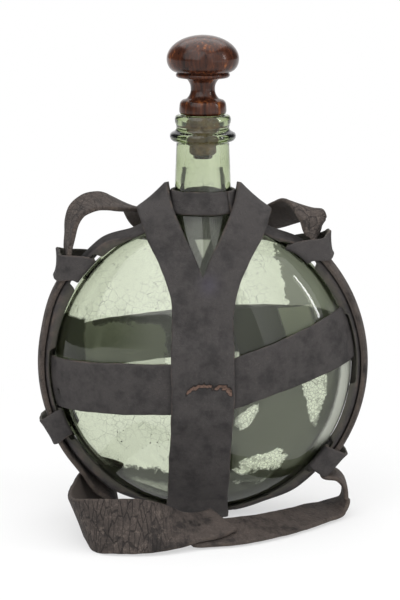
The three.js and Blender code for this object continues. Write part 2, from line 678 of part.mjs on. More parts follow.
/** The carrying loop, from the left pivot up, round behind the neck, and down to the right pivot. */
function carryLoop() {
  const left = CARRY_LEFT_X - PIVOT_GAP / 2;
  const right = CARRY_RIGHT_X + PIVOT_GAP / 2;
  const [up, back] = [vec(0, 0, 1), vec(0, 1, 0)];
  const stations = [
    [[left, 0, CARRY_PIVOT_Z + PIVOT_RISE], [0, 1, 0]], [atShares(-0.897, 0.013, 1.045), [-0.2, 1, 0]],
    [atShares(-0.836, 0.051, 1.088), [-0.25, 0.93, 0.15]], [atShares(-0.727, 0.115, 1.1), [-0.05, 0.93, 0.35]],
    [atShares(-0.618, 0.244, 1.075), [0.12, 0.92, 0.3]], [atShares(-0.521, 0.41, 1.025), [0.15, 0.9, -0.2]],
    [atShares(-0.364, 0.59, 0.937), [0.05, 0.55, -0.84]], [atShares(-0.182, 0.68, 0.907), [0, 0.5, -0.87]],
    [atShares(0, 0.718, 0.901), [0, 0.5, -0.87]], [atShares(0.182, 0.68, 0.907), [0, 0.5, -0.87]],
    [atShares(0.35, 0.65, 0.95), [0.15, 0.62, -0.77]], [atShares(0.5, 0.6, 1.005), [0.65, 0.55, -0.5]],
    [atShares(0.635, 0.39, 1.065), [0.88, 0.2, -0.4]], [atShares(0.715, 0.17, 1.07), [0.8, 0.5, -0.3]],
    [atShares(0.755, 0.05, 1.04), [0.35, 0.93, -0.1]], [[right, 0, CARRY_PIVOT_Z + PIVOT_RISE], [0, 1, 0]],
  ];
  return strapFrom([
    ...tongueRows(left, CARRY_PIVOT_Z, TONGUE_RADIUS, up, back),
    ...freeRows(stations, 44),
    ...tongueRows(right, CARRY_PIVOT_Z, TONGUE_RADIUS, up, back).reverse(),
  ], SLING_THICKNESS);
}

/** The left half of the foot loop: from its pivot to the front, on edge, to its square end at the splice. */
function footLoopLeft() {
  const at = (out, ahead, up) => [out * FOOT_LEFT_X, -ahead * FOOT_REACH, up * SLING_WIDTH];
  const stations = [
    [[FOOT_LEFT_X, -0.056 * FOOT_REACH, FOOT_PIVOT_Z], [0, 0, 1]], [at(1.036, 0.28, 0.6), [0, 0, 1]],
    [at(1.03, 0.52, 0.56), [-0.12, 0.05, 0.99]], [at(0.995, 0.74, 0.545), [-0.25, 0.12, 0.95]],
    [at(0.925, 0.91, 0.532), [-0.33, 0.2, 0.92]], [at(0.798, 1, 0.527), [-0.22, 0.22, 0.95]],
    [at(0.55, 1.022, 0.52), [-0.05, 0.3, 0.95]], [at(0.294, 0.972, 0.455), [0, 0.62, 0.76]],
    [at(0.1, 0.877, 0.39), [-0.08, 0.91, 0.4]], [at(-0.043, 0.804, 0.37), [-0.14, 0.92, 0.34]],
    [[SPLICE_END_X, -0.713 * FOOT_REACH, 0.423 * SLING_WIDTH], [-0.27, 0.9, 0.33]],
  ];
  const strap = strapFrom([
    ...tongueRows(FOOT_LEFT_X, FOOT_PIVOT_Z, FOOT_LEFT_TONGUE_RADIUS, vec(0, -1, 0), vec(0, 0, 1)),
    ...freeRows(stations, 26),
  ], SLING_THICKNESS);
  const holes = [0, 1].map((i) => vec(
    SPLICE_HOLE_X + i * SPLICE_HOLE_SPACING, -0.834 * FOOT_REACH, 0.427 * SLING_WIDTH));
  return punched(strap, holes, vec(0, -0.42, 0.9).normalize(), SPLICE_HOLE_DIAMETER);
}

/** The right half of the foot loop: from its rounded end under the splice, flat on the floor, to its pivot. */
function footLoopRight() {
  const outer = FOOT_RIGHT_X + SLING_THICKNESS;
  const at = (out, ahead, up) => [out * outer, -ahead * FOOT_REACH, up * SLING_WIDTH];
  const tip = (from, ahead) => [SPLICE_TIP_X + from, -ahead * FOOT_REACH, 0.2 * SLING_WIDTH];
  const stations = [
    [tip(0, 0.874), [-0.05, 0.93, 0.36], 0.45], [tip(SPLICE_TIP_ROUND, 0.861), [-0.06, 0.93, 0.36], 0.9],
    [at(0, 0.839, 0.195), [-0.12, 0.93, 0.35]], [at(0.127, 0.801, 0.191), [-0.2, 0.92, 0.34]],
    [at(0.251, 0.745, 0.186), [-0.3, 0.9, 0.32]], [at(0.427, 0.613, 0.164), [-0.42, 0.87, 0.26]],
    [at(0.598, 0.434, 0.136), [-0.5, 0.85, 0.2]], [at(0.765, 0.238, 0.123), [-0.55, 0.82, 0.14]],
    [at(0.892, 0.077, 0.114), [-0.35, 0.93, 0.06]],
    [at(0.988, 0.014, 0.318), [0, 1, 0]], [[outer, 0, FOOT_PIVOT_Z - PIVOT_RISE], [0, 1, 0]],
  ];
  const tongue = tongueRows(outer, FOOT_PIVOT_Z, TONGUE_RADIUS, vec(0, 0, -1), vec(0, 1, 0));
  return strapFrom([...freeRows(stations, 32), ...tongue.reverse()], SLING_THICKNESS);
}

// The canteen

const FINISHES = {
  glass: { color: 0xc3d3b2, roughness: 0.06, metalness: 0 },
  wood: { color: 0x46281c, roughness: 0.32, metalness: 0 },
  cork: { color: 0x8a6a48, roughness: 0.85, metalness: 0 },
  harness: { color: 0x464242, roughness: 0.75, metalness: 0 },
  sling: { color: 0x5a5048, roughness: 0.8, metalness: 0 },
};

const canteen = new THREE.Group();

/** Adds a named piece of a finish to the canteen. */
function addPiece(name, finish, geometry) {
  const mesh = new THREE.Mesh(geometry, new THREE.MeshStandardMaterial(FINISHES[finish]));
  mesh.name = name;
  canteen.add(mesh);
}

addPiece('glass_flask', 'glass', glassFlask());
addPiece('stopper_knob', 'wood', stopperKnob());
addPiece('stopper_cork', 'cork', stopperCork());
addPiece('body_strap', 'harness', bodyStrap());
addPiece('neck_band', 'harness', neckBand());
addPiece('cross_strap_front', 'harness', crossStrapFront());
addPiece('cross_strap_back', 'harness', crossStrap(1, BACK_CROSS_HEIGHTS));
addPiece('rim_band', 'harness', rimBand());
addPiece('keeper_upper_left', 'harness', keeper(KEEPER_UPPER_LEFT_TURN, -1));
addPiece('keeper_upper_right', 'harness', keeper(KEEPER_UPPER_RIGHT_TURN, 1));
addPiece('keeper_lower_left', 'harness', keeper(KEEPER_LOWER_LEFT_TURN, -1));
addPiece('keeper_lower_right', 'harness', keeper(KEEPER_LOWER_RIGHT_TURN, 1));
addPiece('sling_left_run', 'sling', slingRun(-1, CARRY_LEFT_X, RUN_TOP_LEFT_TURN, RUN_FOOT_LEFT_TURN));
addPiece('sling_right_run', 'sling', slingRun(1, CARRY_RIGHT_X, RUN_TOP_RIGHT_TURN, RUN_FOOT_RIGHT_TURN));
addPiece('sling_carry_loop', 'sling', carryLoop());
addPiece('sling_foot_left', 'sling', footLoopLeft());
addPiece('sling_foot_right', 'sling', footLoopRight());

export default canteen;
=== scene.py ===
"""Looks of a glass canteen in a leather strap harness, dressed over its CAD frame.

Sizes are in millimetres and are turned to metres where a mesh is made. +Z is up and -Y is the front.
Finishes and the studio are in metres. A Span is where an eased edge starts and ends, and UV_LENGTH is
the length of flat strap, in millimetres, that one unit of its UV map covers.
"""

import logging
import math
from dataclasses import dataclass, field
from enum import Enum

import bmesh
import bpy
import numpy as np
from bpy.types import Material, Object
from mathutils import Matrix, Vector


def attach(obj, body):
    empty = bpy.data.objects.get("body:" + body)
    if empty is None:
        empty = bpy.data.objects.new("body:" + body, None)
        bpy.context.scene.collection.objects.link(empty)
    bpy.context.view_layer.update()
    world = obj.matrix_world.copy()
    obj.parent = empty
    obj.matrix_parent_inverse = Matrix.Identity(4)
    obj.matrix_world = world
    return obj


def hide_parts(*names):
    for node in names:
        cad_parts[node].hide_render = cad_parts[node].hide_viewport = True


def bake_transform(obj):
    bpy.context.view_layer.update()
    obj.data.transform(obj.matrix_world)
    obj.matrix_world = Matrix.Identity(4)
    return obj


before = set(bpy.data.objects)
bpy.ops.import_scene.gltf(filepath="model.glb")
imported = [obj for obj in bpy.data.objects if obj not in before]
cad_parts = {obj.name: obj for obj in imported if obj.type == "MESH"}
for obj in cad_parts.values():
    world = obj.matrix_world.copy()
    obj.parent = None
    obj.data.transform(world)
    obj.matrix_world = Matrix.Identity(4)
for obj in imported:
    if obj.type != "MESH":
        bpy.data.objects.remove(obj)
log = logging.getLogger("canteen")

MM = 0.001
UV_LENGTH = 100.0
Array = np.ndarray
Colour = tuple[float, float, float, float]
Triple = tuple[float, float, float]
Span = tuple[float, float]
Spans = tuple[tuple[Span, ...], tuple[Span, ...]]
WHITE: Colour = (1.0, 1.0, 1.0, 1.0)


class Side(Enum):
    """A side of the canteen, seen from the front."""

    LEFT = -1
    RIGHT = 1


class Body(Enum):
    """The bodies of the frame that pieces ride on."""

    FLASK = "flask"
    STOPPER = "stopper"
    CARRY = "carry_loop"
    FOOT = "foot_loop"


# Small sums


def smoothstep(value: Array, low: float, high: float) -> Array:
    """Eases from 0 at one value to 1 at another."""
    share = np.clip((np.asarray(value, float) - low) / (high - low), 0.0, 1.0)
    return share * share * (3.0 - 2.0 * share)


def along_stops(stops: list[tuple[float, float]], at: Array) -> Array:
    """Reads a smooth line through stops.

    Args:
        stops: Pairs of a place and a value, in order.
        at: Places to read.

    Returns:
        The values there.
    """
    at = np.asarray(at, float)
    result = np.full_like(at, stops[0][1])
    for (x0, y0), (x1, y1) in zip(stops, stops[1:]):
        result = np.where(at > x0, y0 + (y1 - y0) * smoothstep(at, x0, x1), result)
    return result


def ripple(at: Array, wave: float, phase: float) -> Array:
    """An uneven wave that stands for the unevenness of worn leather.

    Args:
        at: Places along the wave, in millimetres.
        wave: The longest wavelength.
        phase: Shift that makes each strap differ.

    Returns:
        Numbers between about -1 and 1.
    """
    turn = 2.0 * math.pi * np.asarray(at, float) / wave
    slow = np.sin(turn + phase)
    middle = np.sin(turn * 2.31 + 1.7 * phase)
    fast = np.sin(turn * 4.87 + 2.9 * phase)
    return 0.5 * slow + 0.3 * middle + 0.2 * fast


def unit(vectors: Array) -> Array:
    """Scales vectors to length 1."""
    return vectors / np.maximum(np.linalg.norm(vectors, axis=-1, keepdims=True), 1e-9)


def travelled(points: Array) -> Array:
    """Distances along the first axis of points from its start."""
    steps = np.linalg.norm(np.diff(points, axis=0), axis=-1)
    return np.concatenate([np.zeros_like(steps[:1]), np.cumsum(steps, axis=0)])


def edged_shares(width: float, step: float, crowd: float) -> Array:
    """Shares from 0 to 1 across a width, crowded at both edges so that they can be rounded.

    Args:
        width: The width.
        step: Spacing away from the edges.
        crowd: Width of the crowded part at each edge.

    Returns:
        The shares in order.
    """
    near = np.array([0.0, 0.12, 0.4]) * crowd / width
    count = max(3, round((width - 2.0 * crowd) / step) + 1)
    inside = np.linspace(crowd / width, 1.0 - crowd / width, count)
    return np.concatenate([near, inside, 1.0 - near[::-1]])


def spline(points: Array, steps: int) -> Array:
    """A centripetal Catmull-Rom curve through points.

    Args:
        points: Points in order, of any dimension.
        steps: Number of steps along the curve.

    Returns:
        The points of the curve, evenly spread over the spans.
    """
    points = np.asarray(points, float)
    first = 2.0 * points[0] - points[1]
    last = 2.0 * points[-1] - points[-2]
    padded = np.vstack([first, points, last])
    result = []
    for share in np.linspace(0.0, len(points) - 1.0, steps + 1):
        span = min(int(share), len(points) - 2)
        p0, p1, p2, p3 = padded[span:span + 4]
        d0, d1, d2 = (max(np.linalg.norm(b - a) ** 0.5, 1e-4) for a, b in ((p0, p1), (p1, p2), (p2, p3)))
        t1 = ((p1 - p0) / d0 - (p2 - p0) / (d0 + d1) + (p2 - p1) / d1) * d1
        t2 = ((p2 - p1) / d1 - (p3 - p1) / (d1 + d2) + (p3 - p2) / d2) * d1
        w = share - span
        c2 = -3.0 * p1 + 3.0 * p2 - 2.0 * t1 - t2
        c3 = 2.0 * p1 - 2.0 * p2 + t1 + t2
        result.append(p1 + t1 * w + c2 * w * w + c3 * w ** 3)
    return np.array(result)


# Shader building


class Signal:
    """A shader output that arithmetic joins into nodes."""

    def __init__(self, shader: "NodeTree", socket: bpy.types.NodeSocket) -> None:
        """Keeps a socket and the shader that it belongs to."""
        self.shader = shader
        self.socket = socket

    def _math(self, operation: str, *values: "Signal | float") -> "Signal":
        """Joins values with a math node."""
        return self.shader.out("ShaderNodeMath", 0, dict(enumerate(values)), operation=operation)

    def __add__(self, other: "Signal | float") -> "Signal":
        """Adds another value."""
        return self._math("ADD", self, other)

    def __radd__(self, other: float) -> "Signal":
        """Adds to a number."""
        return self._math("ADD", other, self)

    def __sub__(self, other: "Signal | float") -> "Signal":
        """Takes away another value."""
        return self._math("SUBTRACT", self, other)

    def __rsub__(self, other: float) -> "Signal":
        """Takes this from a number."""
        return self._math("SUBTRACT", other, self)

    def __mul__(self, other: "Signal | float") -> "Signal":
        """Multiplies by another value."""
        return self._math("MULTIPLY", self, other)

    def __rmul__(self, other: float) -> "Signal":
        """Multiplies a number."""
        return self._math("MULTIPLY", other, self)

    def __truediv__(self, other: "Signal | float") -> "Signal":
        """Divides by another value."""
        return self._math("DIVIDE", self, other)

    def __abs__(self) -> "Signal":
        """The size without its sign."""
        return self._math("ABSOLUTE", self)

    def larger(self, other: "Signal | float") -> "Signal":
        """The larger of this and another value."""
        return self._math("MAXIMUM", self, other)

    def smaller_gap(self, other: "Signal | float") -> "Signal":
        """The smaller of two sizes, whatever their signs."""
        return abs(self)._math("MINIMUM", abs(other))

    def eased(self, low: float, high: float) -> "Signal":
        """Eases from 0 at one value to 1 at another."""
        inputs = {"Value": self, "From Min": low, "From Max": high}
        return self.shader.out("ShaderNodeMapRange", 0, inputs, interpolation_type="SMOOTHSTEP")

    def between(self, start: "Signal | Colour", end: "Signal | Colour") -> "Signal":
        """Blends two colours by this value."""
        return self.shader.out("ShaderNodeMix", 2, {0: self, 6: start, 7: end}, data_type="RGBA")


class NodeTree:
    """A node tree whose nodes are added one call at a time."""

    def __init__(self, tree: bpy.types.NodeTree) -> None:
        """Starts from an empty tree."""
        self.tree = tree
        self.tree.nodes.clear()

    def node(self, kind: str, inputs: dict | None = None, **settings: object) -> bpy.types.Node:
        """Adds a node.

        Args:
            kind: The node's type name.
            inputs: Values or signals by input name or number.
            settings: Properties of the node.

        Returns:
            The node.
        """
        made = self.tree.nodes.new(kind)
        for key, value in settings.items():
            setattr(made, key, value)
        for key, value in (inputs or {}).items():
            if isinstance(value, Signal):
                self.tree.links.new(value.socket, made.inputs[key])
            else:
                made.inputs[key].default_value = value
        return made

    def out(self, kind: str, output: int | str, inputs: dict | None = None, **settings: object) -> Signal:
        """Adds a node and takes one of its outputs."""
        return Signal(self, self.node(kind, inputs, **settings).outputs[output])

    def rays(self) -> list[Signal]:
        """Masks of the camera, glossy and transmission rays."""
        outputs = self.node("ShaderNodeLightPath").outputs
        return [Signal(self, outputs[f"Is {kind} Ray"]) for kind in ("Camera", "Glossy", "Transmission")]


class Shader(NodeTree):
    """The node tree of a material."""

    def __init__(self, name: str) -> None:
        """Starts an empty material.

        Args:
            name: The material's name.
        """
        self.material = bpy.data.materials.new(name)
        self.material.use_nodes = True
        super().__init__(self.material.node_tree)

    def place(self) -> Signal:
        """The point on the object, in metres."""
        return self.out("ShaderNodeTexCoord", "Object")

    def attribute(self, name: str) -> Signal:
        """A number that the mesh keeps at its points."""
        return self.out("ShaderNodeAttribute", "Fac", attribute_name=name)

    def scaled(self, vector: Signal, scale: Triple) -> Signal:
        """Multiplies a vector."""
        return self.out("ShaderNodeVectorMath", 0, {0: vector, 1: scale}, operation="MULTIPLY")

    def noise(self, vector: Signal, scale: float, detail: float = 4.0, rough: float = 0.55) -> Signal:
        """A noise between 0 and 1."""
        inputs = {"Vector": vector, "Scale": scale, "Detail": detail, "Roughness": rough}
        return self.out("ShaderNodeTexNoise", "Fac", inputs)

    def cells(self, vector: Signal, scale: float, feature: str = "F1") -> Signal:
        """Distances in a pattern of cells."""
        inputs = {"Vector": vector, "Scale": scale}
        return self.out("ShaderNodeTexVoronoi", "Distance", inputs, feature=feature)

    def coated(self, mask: Signal, under: Signal, over: Signal) -> Signal:
        """Lays one shader over another where the mask is 1."""
        return self.out("ShaderNodeMixShader", 0, {0: mask, 1: under, 2: over})

    def bump(self, height: Signal, strength: float, reach: float) -> Signal:
        """Turns a height into a normal."""
        return self.out("ShaderNodeBump", 0, {"Height": height, "Strength": strength, "Distance": reach})

    def principled(self, inputs: dict) -> Signal:
        """Adds the main surface shader."""
        return self.out("ShaderNodeBsdfPrincipled", 0, inputs)

    def done(self, surface: Signal, volume: Signal | None = None) -> Material:
        """Joins the surface to the output.

        Args:
            surface: The surface shader.
            volume: The shader of the inside, if any.

        Returns:
            The finished material.
        """
        ends = {"Surface": surface}
        if volume is not None:
            ends["Volume"] = volume
        self.node("ShaderNodeOutputMaterial", ends)
        return self.material


# Finishes


@dataclass(frozen=True)
class LeatherFinish:
    """Aged leather with worn edges, grain and cracks across the strap, and painted shade round its tears
    and in its punched holes.

    Scales are in cells per metre of the piece, and stretches in cells per unit of the strap's UV map.
    """

    name: str
    dark: Colour
    base: Colour
    pale: Colour
    edge: Colour
    stain: Colour = (0.062, 0.055, 0.085, 1.0)
    flesh: Colour = (0.10, 0.096, 0.078, 1.0)
    fibre: Colour = (0.14, 0.085, 0.064, 1.0)
    fibre_shade: Colour = (0.05, 0.03, 0.022, 1.0)
    # This near-black colour paints shade round the torn fibres and in the punched holes.
    tear_shade: Colour = (0.012, 0.009, 0.008, 1.0)
    roughness: float = 0.74
    edge_width: float = 0.9
    grain: float = 0.5
    grain_depth: float = 0.0006
    broad_scale: float = 18.0
    mottle_scale: float = 95.0
    fine_scale: float = 900.0
    pore_scale: float = 1300.0
    flake_scale: float = 320.0
    wear_scale: float = 130.0
    wander_scale: float = 110.0
    wander: Triple = (0.03, 0.008, 0.0)
    scuff_stretch: Triple = (260.0, 26.0, 1.0)
    crack_stretch: Triple = (10.0, 44.0, 1.0)
    crease_stretch: Triple = (38.0, 120.0, 1.0)

    def build(self) -> Material:
        """Makes the material.

        Returns:
            The material.
        """
        shader = Shader(self.name)
        place = shader.place()
        strap = shader.out("ShaderNodeUVMap", 0, uv_map="UVMap")
        broad = shader.noise(place, self.broad_scale, 3.0)
        mottle = shader.noise(place, self.mottle_scale, 6.0, 0.68)
        fine = shader.noise(place, self.fine_scale, 3.0, 0.6)
        pores = shader.cells(place, self.pore_scale)
        scuff = shader.noise(shader.scaled(strap, self.scuff_stretch), 1.0, 5.0, 0.7)
        rubbed = (scuff * 0.55 + fine * 0.2 + mottle * 0.25).eased(0.53, 0.68)
        aged = shader.attribute("crack")
        opened = self._opened(shader, strap, fine, mottle.eased(0.44, 0.6), aged)
        flaked = shader.noise(place, self.flake_scale, 4.0, 0.7).eased(0.54, 0.66) * aged
        patchy = shader.noise(place, self.wear_scale, 4.0, 0.65).eased(0.44, 0.68)
        depth = shader.attribute("edge") + (fine - 0.5) * 0.8
        worn = (1.0 - depth.eased(0.05, self.edge_width)) * patchy
        torn = shader.attribute("tear")
        fibres = fine.eased(0.3, 0.55).between(self.fibre_shade, self.fibre)
        colour = (broad * 0.22 + mottle * 0.78).eased(0.34, 0.58).between(self.dark, self.base)
        layers = (
            (rubbed * 0.55, self.pale),
            (opened * 0.85, self.dark),
            (flaked * 0.45, self.pale),
            (worn * 0.7, self.edge),
            (shader.attribute("stain") * (0.4 + mottle), self.stain),
            (shader.attribute("flesh") * 0.8, self.flesh),
            # Painted shade round the tear and in the punched holes.
            (torn.eased(0.1, 0.3), self.tear_shade),
            (torn.eased(0.45, 0.75), fibres),
        )
        for mask, layer in layers:
            colour = mask.between(colour, layer)
        height = fine * 0.5 + pores * 0.35 + mottle * 0.8 + scuff * 0.15
        height = height - opened * 1.5 - torn * (fine * 2.0)
        surface = shader.principled({
            "Base Color": colour,
            "Roughness": self.roughness + (mottle - 0.5) * 0.3,
            "Specular IOR Level": 0.3,
            "Normal": shader.bump(height, self.grain, self.grain_depth),
        })
        return shader.done(surface)

    def _opened(self, shader: Shader, strap: Signal, fine: Signal, patches: Signal, aged: Signal) -> Signal:
        """Cracks and creases across the strap.

        Args:
            shader: The shader being built.
            strap: The place on the flat strap.
            fine: Fine noise that frays their edges.
            patches: Where the creases show.
            aged: How cracked the strap is.

        Returns:
            1 where the grain is open.
        """
        inputs = {"Vector": shader.place(), "Scale": self.wander_scale, "Detail": 3.0}
        wander = shader.out("ShaderNodeTexNoise", "Color", inputs)
        bent = shader.out(
            "ShaderNodeVectorMath", 0, {0: wander, 1: self.wander, 2: strap}, operation="MULTIPLY_ADD")
        lines, creases = (
            shader.cells(shader.scaled(bent, stretch), 1.0, "DISTANCE_TO_EDGE")
            for stretch in (self.crack_stretch, self.crease_stretch))
        cracked = (1.0 - (lines + (fine - 0.5) * 0.07).eased(0.015, 0.085)) * aged
        creased = (1.0 - (creases + (fine - 0.5) * 0.1).eased(0.01, 0.12)) * patches
        return cracked.larger(creased * (0.25 + aged * 0.3))


@dataclass(frozen=True)
class ShadePane:
    """A pane of painted shade inside the glass, where it shows dark surroundings, with its edges and their
    softness in metres.
    """

    left: float
    right: float
    low: float
    high: float
    soft: float
    lean: float


@dataclass(frozen=True)
class BrightPatch:
    """A clear patch cut out of the painted shade, where the backdrop shows between the straps behind, with
    its middle, its slope and its half sizes in metres.
    """

    x: float
    z: float
    slope: float
    half_width: float
    half_height: float


@dataclass(frozen=True)
class GlassPoint:
    """What the masks of the glass read at a point of its surface."""

    place: Signal
    right: Signal
    up: Signal
    inside: Signal
    front: Signal
    cloud: Signal
    fleck: Signal
    jagged: Signal


@dataclass(frozen=True)
class GlassFinish:
    """Pale green glass, deeper in colour where it is thick, with a dried haze inside and painted light and
    shade over it: a pale window, a pale rim crescent and dark patches where the glass shows bright or dark
    surroundings.

    Places and spans are in metres on the piece.
    """

    name: str
    tint: Colour = (0.97, 0.98, 0.96, 1.0)
    depth_colour: Colour = (0.33, 0.44, 0.06, 1.0)
    density: float = 90.0
    # This pale colour paints the dried haze inside, and also the pale window, which is painted light.
    film: Colour = (0.50, 0.53, 0.40, 1.0)
    # This dark colour paints shade low on the right and in the upper right corner, and colours the fork
    # patch and the hairline crackle.
    murk_and_painted_shade: Colour = (0.075, 0.082, 0.05, 1.0)
    # This dark colour paints shade low at the base and in the dark panes, and colours the darker line along
    # the body strap.
    dirt: Colour = (0.034, 0.038, 0.018, 1.0)
    # This pale colour paints light on the crescent low on the right rim.
    rim_light: Colour = (0.50, 0.52, 0.45, 1.0)
    lean_level: float = 0.12
    bench_right: Span = (-0.02, -0.018)
    bench_low: Span = (0.07, 0.072)
    bench_top: Span = (0.1155, 0.113)
    bench_slope: float = 0.1
    # Where the pale window of painted light lies, right of the body strap.
    window_left: Span = (0.037, 0.0385)
    window_right: Span = (0.053, 0.056)
    window_low: Span = (0.085, 0.09)
    window_top: Span = (0.1172, 0.1182)
    window_lean: float = 0.31
    # Where the painted shade lies low on the right.
    low_shade_left: Span = (0.004, 0.008)
    low_shade_top: Span = (0.071, 0.073)
    low_shade_slope: float = 0.25
    # Where the painted shade lies in the upper right corner.
    corner_left: Span = (0.0435, 0.0445)
    corner_low: Span = (0.09, 0.1)
    corner_level: float = 0.122
    corner_lean: float = 0.24
    fork_x: float = 0.004
    fork_half: Span = (0.016, 0.02)
    fork_low: Span = (0.132, 0.136)
    fork_top: Span = (0.17, 0.18)
    middle: float = 0.084
    # Where the painted light of the rim crescent lies.
    rim_light_reach: Span = (0.0051, 0.0055)
    rim_light_left: Span = (0.03, 0.05)
    rim_light_low: Span = (0.036, 0.048)
    rim_light_top: Span = (0.1, 0.12)
    # Where the painted shade lies low at the base.
    base_shade_top: Span = (0.0295, 0.0315)
    base_shade_deep: Span = (0.019, 0.026)
    strap_left: float = -0.0195
    strap_right: float = 0.0165
    strap_line_width: Span = (0.0008, 0.0028)
    # Clear patches cut out of the painted shade low on the right.
    bright_patches: tuple[BrightPatch, ...] = (
        BrightPatch(0.029, 0.0308, 0.3, 0.0145, 0.0085),
        BrightPatch(0.0585, 0.075, 0.2, 0.0066, 0.0195),
        BrightPatch(0.0235, 0.0606, 0.75, 0.0065, 0.006),
    )
    # Panes of painted shade, where the glass shows dark surroundings.
    shade_panes: tuple[ShadePane, ...] = (
        ShadePane(0.010, 0.0385, 0.086, 0.1195, 0.0015, 0.31),
        ShadePane(-0.079, -0.0605, 0.088, 0.1105, 0.0015, 0.0),
    )

    def build(self) -> Material:
        """Makes the material.

        Returns:
            The material.
        """
        shader = Shader(self.name)
        at = self._point(shader)
        surface = shader.principled({
            "Base Color": self.tint,
            "Roughness": 0.02,
            "IOR": 1.5,
            "Transmission Weight": 1.0,
            "Normal": shader.bump(shader.noise(at.place, 28.0, 2.0), 0.25, 0.002),
        })
        # Painted light and shade: the window and the rim crescent are painted light, and the murk's low and
        # corner patches, the band at the base and the dark panes are painted shade.
        layers = (
            (self._pale_film_and_painted_light(at), self.film, 0.7, 0.35),
            (self._murk_and_painted_shade(shader, at), self.murk_and_painted_shade, 0.6, 0.1),
            (self._painted_rim_light(at), self.rim_light, 0.7, 0.0),
            (self._dark(at), self.dirt, 0.6, 0.0),
        )
        for mask, colour, rough, clear in layers:
            inputs = {"Base Color": colour, "Roughness": rough, "Transmission Weight": clear}
            surface = shader.coated(mask, surface, shader.principled(inputs))
        absorbed = {"Color": self.depth_colour, "Density": self.density}
        return shader.done(surface, shader.out("ShaderNodeVolumeAbsorption", 0, absorbed))

    @staticmethod
    def _point(shader: Shader) -> GlassPoint:
        """Reads the place, the kept film and the noises that the masks share.

        Args:
            shader: The shader being built.

        Returns:
            What the masks read.
        """
        place = shader.place()
        split = shader.node("ShaderNodeSeparateXYZ", {"Vector": place})
        right, back, up = (Signal(shader, split.outputs[name]) for name in ("X", "Y", "Z"))
        inside = shader.attribute("film")
        return GlassPoint(
            place=place,
            right=right,
            up=up,
            inside=inside,
            front=inside * (1.0 - back.eased(-0.004, 0.004)),
            cloud=shader.noise(place, 34.0, 6.0, 0.66),
            fleck=shader.noise(place, 240.0, 3.0, 0.6),
            jagged=(shader.noise(place, 75.0, 7.0, 0.72) - 0.5) * 0.02,
        )

    def _painted_window(self, at: GlassPoint) -> Signal:
        """A pale leaning window right of the body strap, painted light where the glass shows the bright
        backdrop.

        Args:
            at: What the masks read.

        Returns:
            The mask.
        """
        leaning = at.right + (at.up - self.lean_level) * self.window_lean
        wide = leaning.eased(*self.window_left) * (1.0 - leaning.eased(*self.window_right))
        return wide * (1.0 - at.up.eased(*self.window_top))

    def _pale_film_and_painted_light(self, at: GlassPoint) -> Signal:
        """A dried haze all over, a grey-green bench on the left, and the pale window on the right, which is
        painted light.

        Args:
            at: What the masks read.

        Returns:
            The mask.
        """
        bench = 1.0 - (at.right + at.jagged).eased(*self.bench_right)
        bench = bench * (at.up - at.right * self.bench_slope + at.jagged).eased(*self.bench_top)
        bench = bench * at.up.eased(*self.bench_low)
        # The window is painted light, where the glass shows the bright backdrop.
        window = self._painted_window(at) * at.up.eased(*self.window_low)
        haze = at.cloud.eased(0.58, 0.66) * 0.12 + at.fleck.eased(0.66, 0.72) * 0.25
        return (haze * at.inside).larger((bench * 0.4).larger(window * 0.6) * at.front)

    def _murk_and_painted_shade(self, shader: Shader, at: GlassPoint) -> Signal:
        """Dark murk: painted shade low on the right and in the upper right corner, where the glass shows
        dark surroundings, then a patch in the fork and hairline crackle.

        Args:
            shader: The shader being built.
            at: What the masks read.

        Returns:
            The mask.
        """
        # Painted shade low on the right, where the glass shows the shaded floor and the straps behind.
        low = (at.right + at.jagged).eased(*self.low_shade_left)
        low = low * (1.0 - (at.up - at.right * self.low_shade_slope + at.jagged).eased(*self.low_shade_top))
        veins = shader.cells(at.place, 560.0, "DISTANCE_TO_EDGE")
        veins = veins.eased(0.02, 0.1) * at.fleck.eased(0.36, 0.46)
        for patch in self.bright_patches:
            above = (at.up - patch.z - (at.right - patch.x) * patch.slope) / patch.half_height
            aside = (at.right - patch.x) / (patch.half_width * (1.0 + above * 0.4))
            outside = (aside * aside + above * above + at.jagged * 170.0).eased(0.85, 1.1)
            low = low * outside.larger((1.0 - veins) * 0.5)
        # Painted shade in the upper right corner, where the glass shows dark surroundings.
        corner = at.right + at.jagged + (at.up - self.corner_level) * self.corner_lean
        corner = corner.eased(*self.corner_left) * at.up.eased(*self.corner_low) * (1.0 - self._painted_window(at))
        fork = 1.0 - abs(at.right - self.fork_x).eased(*self.fork_half)
        fork = fork * at.up.eased(*self.fork_low) * (1.0 - at.up.eased(*self.fork_top))
        crackle = shader.cells(at.place, 260.0, "DISTANCE_TO_EDGE")
        hairs = (1.0 - crackle.eased(0.008, 0.035)) * at.cloud.eased(0.46, 0.58)
        broad = (low * 0.9).larger(corner * 0.75).larger(fork * 0.6) * at.front
        return broad.larger(hairs * (0.35 * at.inside))

    def _painted_rim_light(self, at: GlassPoint) -> Signal:
        """A pale crescent on the outside, low on the right rim: painted light, where the rim of the glass
        shows bright.

        Args:
            at: What the masks read.

        Returns:
            The mask.
        """
        # Painted light on the right rim.
        height = at.up - self.middle
        reach = at.right * at.right + height * height + at.jagged * 0.02
        crescent = reach.eased(*self.rim_light_reach) * at.right.eased(*self.rim_light_left)
        crescent = crescent * at.up.eased(*self.rim_light_low) * (1.0 - at.up.eased(*self.rim_light_top))
        return crescent * (1.0 - at.inside) * 0.75

    def _dark(self, at: GlassPoint) -> Signal:
        """Painted shade low at the base, where the glass shows the dark ground, a darker line along the
        body strap's edges, and the dark panes, which are painted shade too.

        Args:
            at: What the masks read.

        Returns:
            The mask.
        """
        # Painted shade low at the base, where the glass shows the dark ground.
        level = at.up + at.jagged * 0.8
        base_shade = (1.0 - level.eased(*self.base_shade_top)) * (0.5 + level.eased(*self.base_shade_deep) * 0.42)
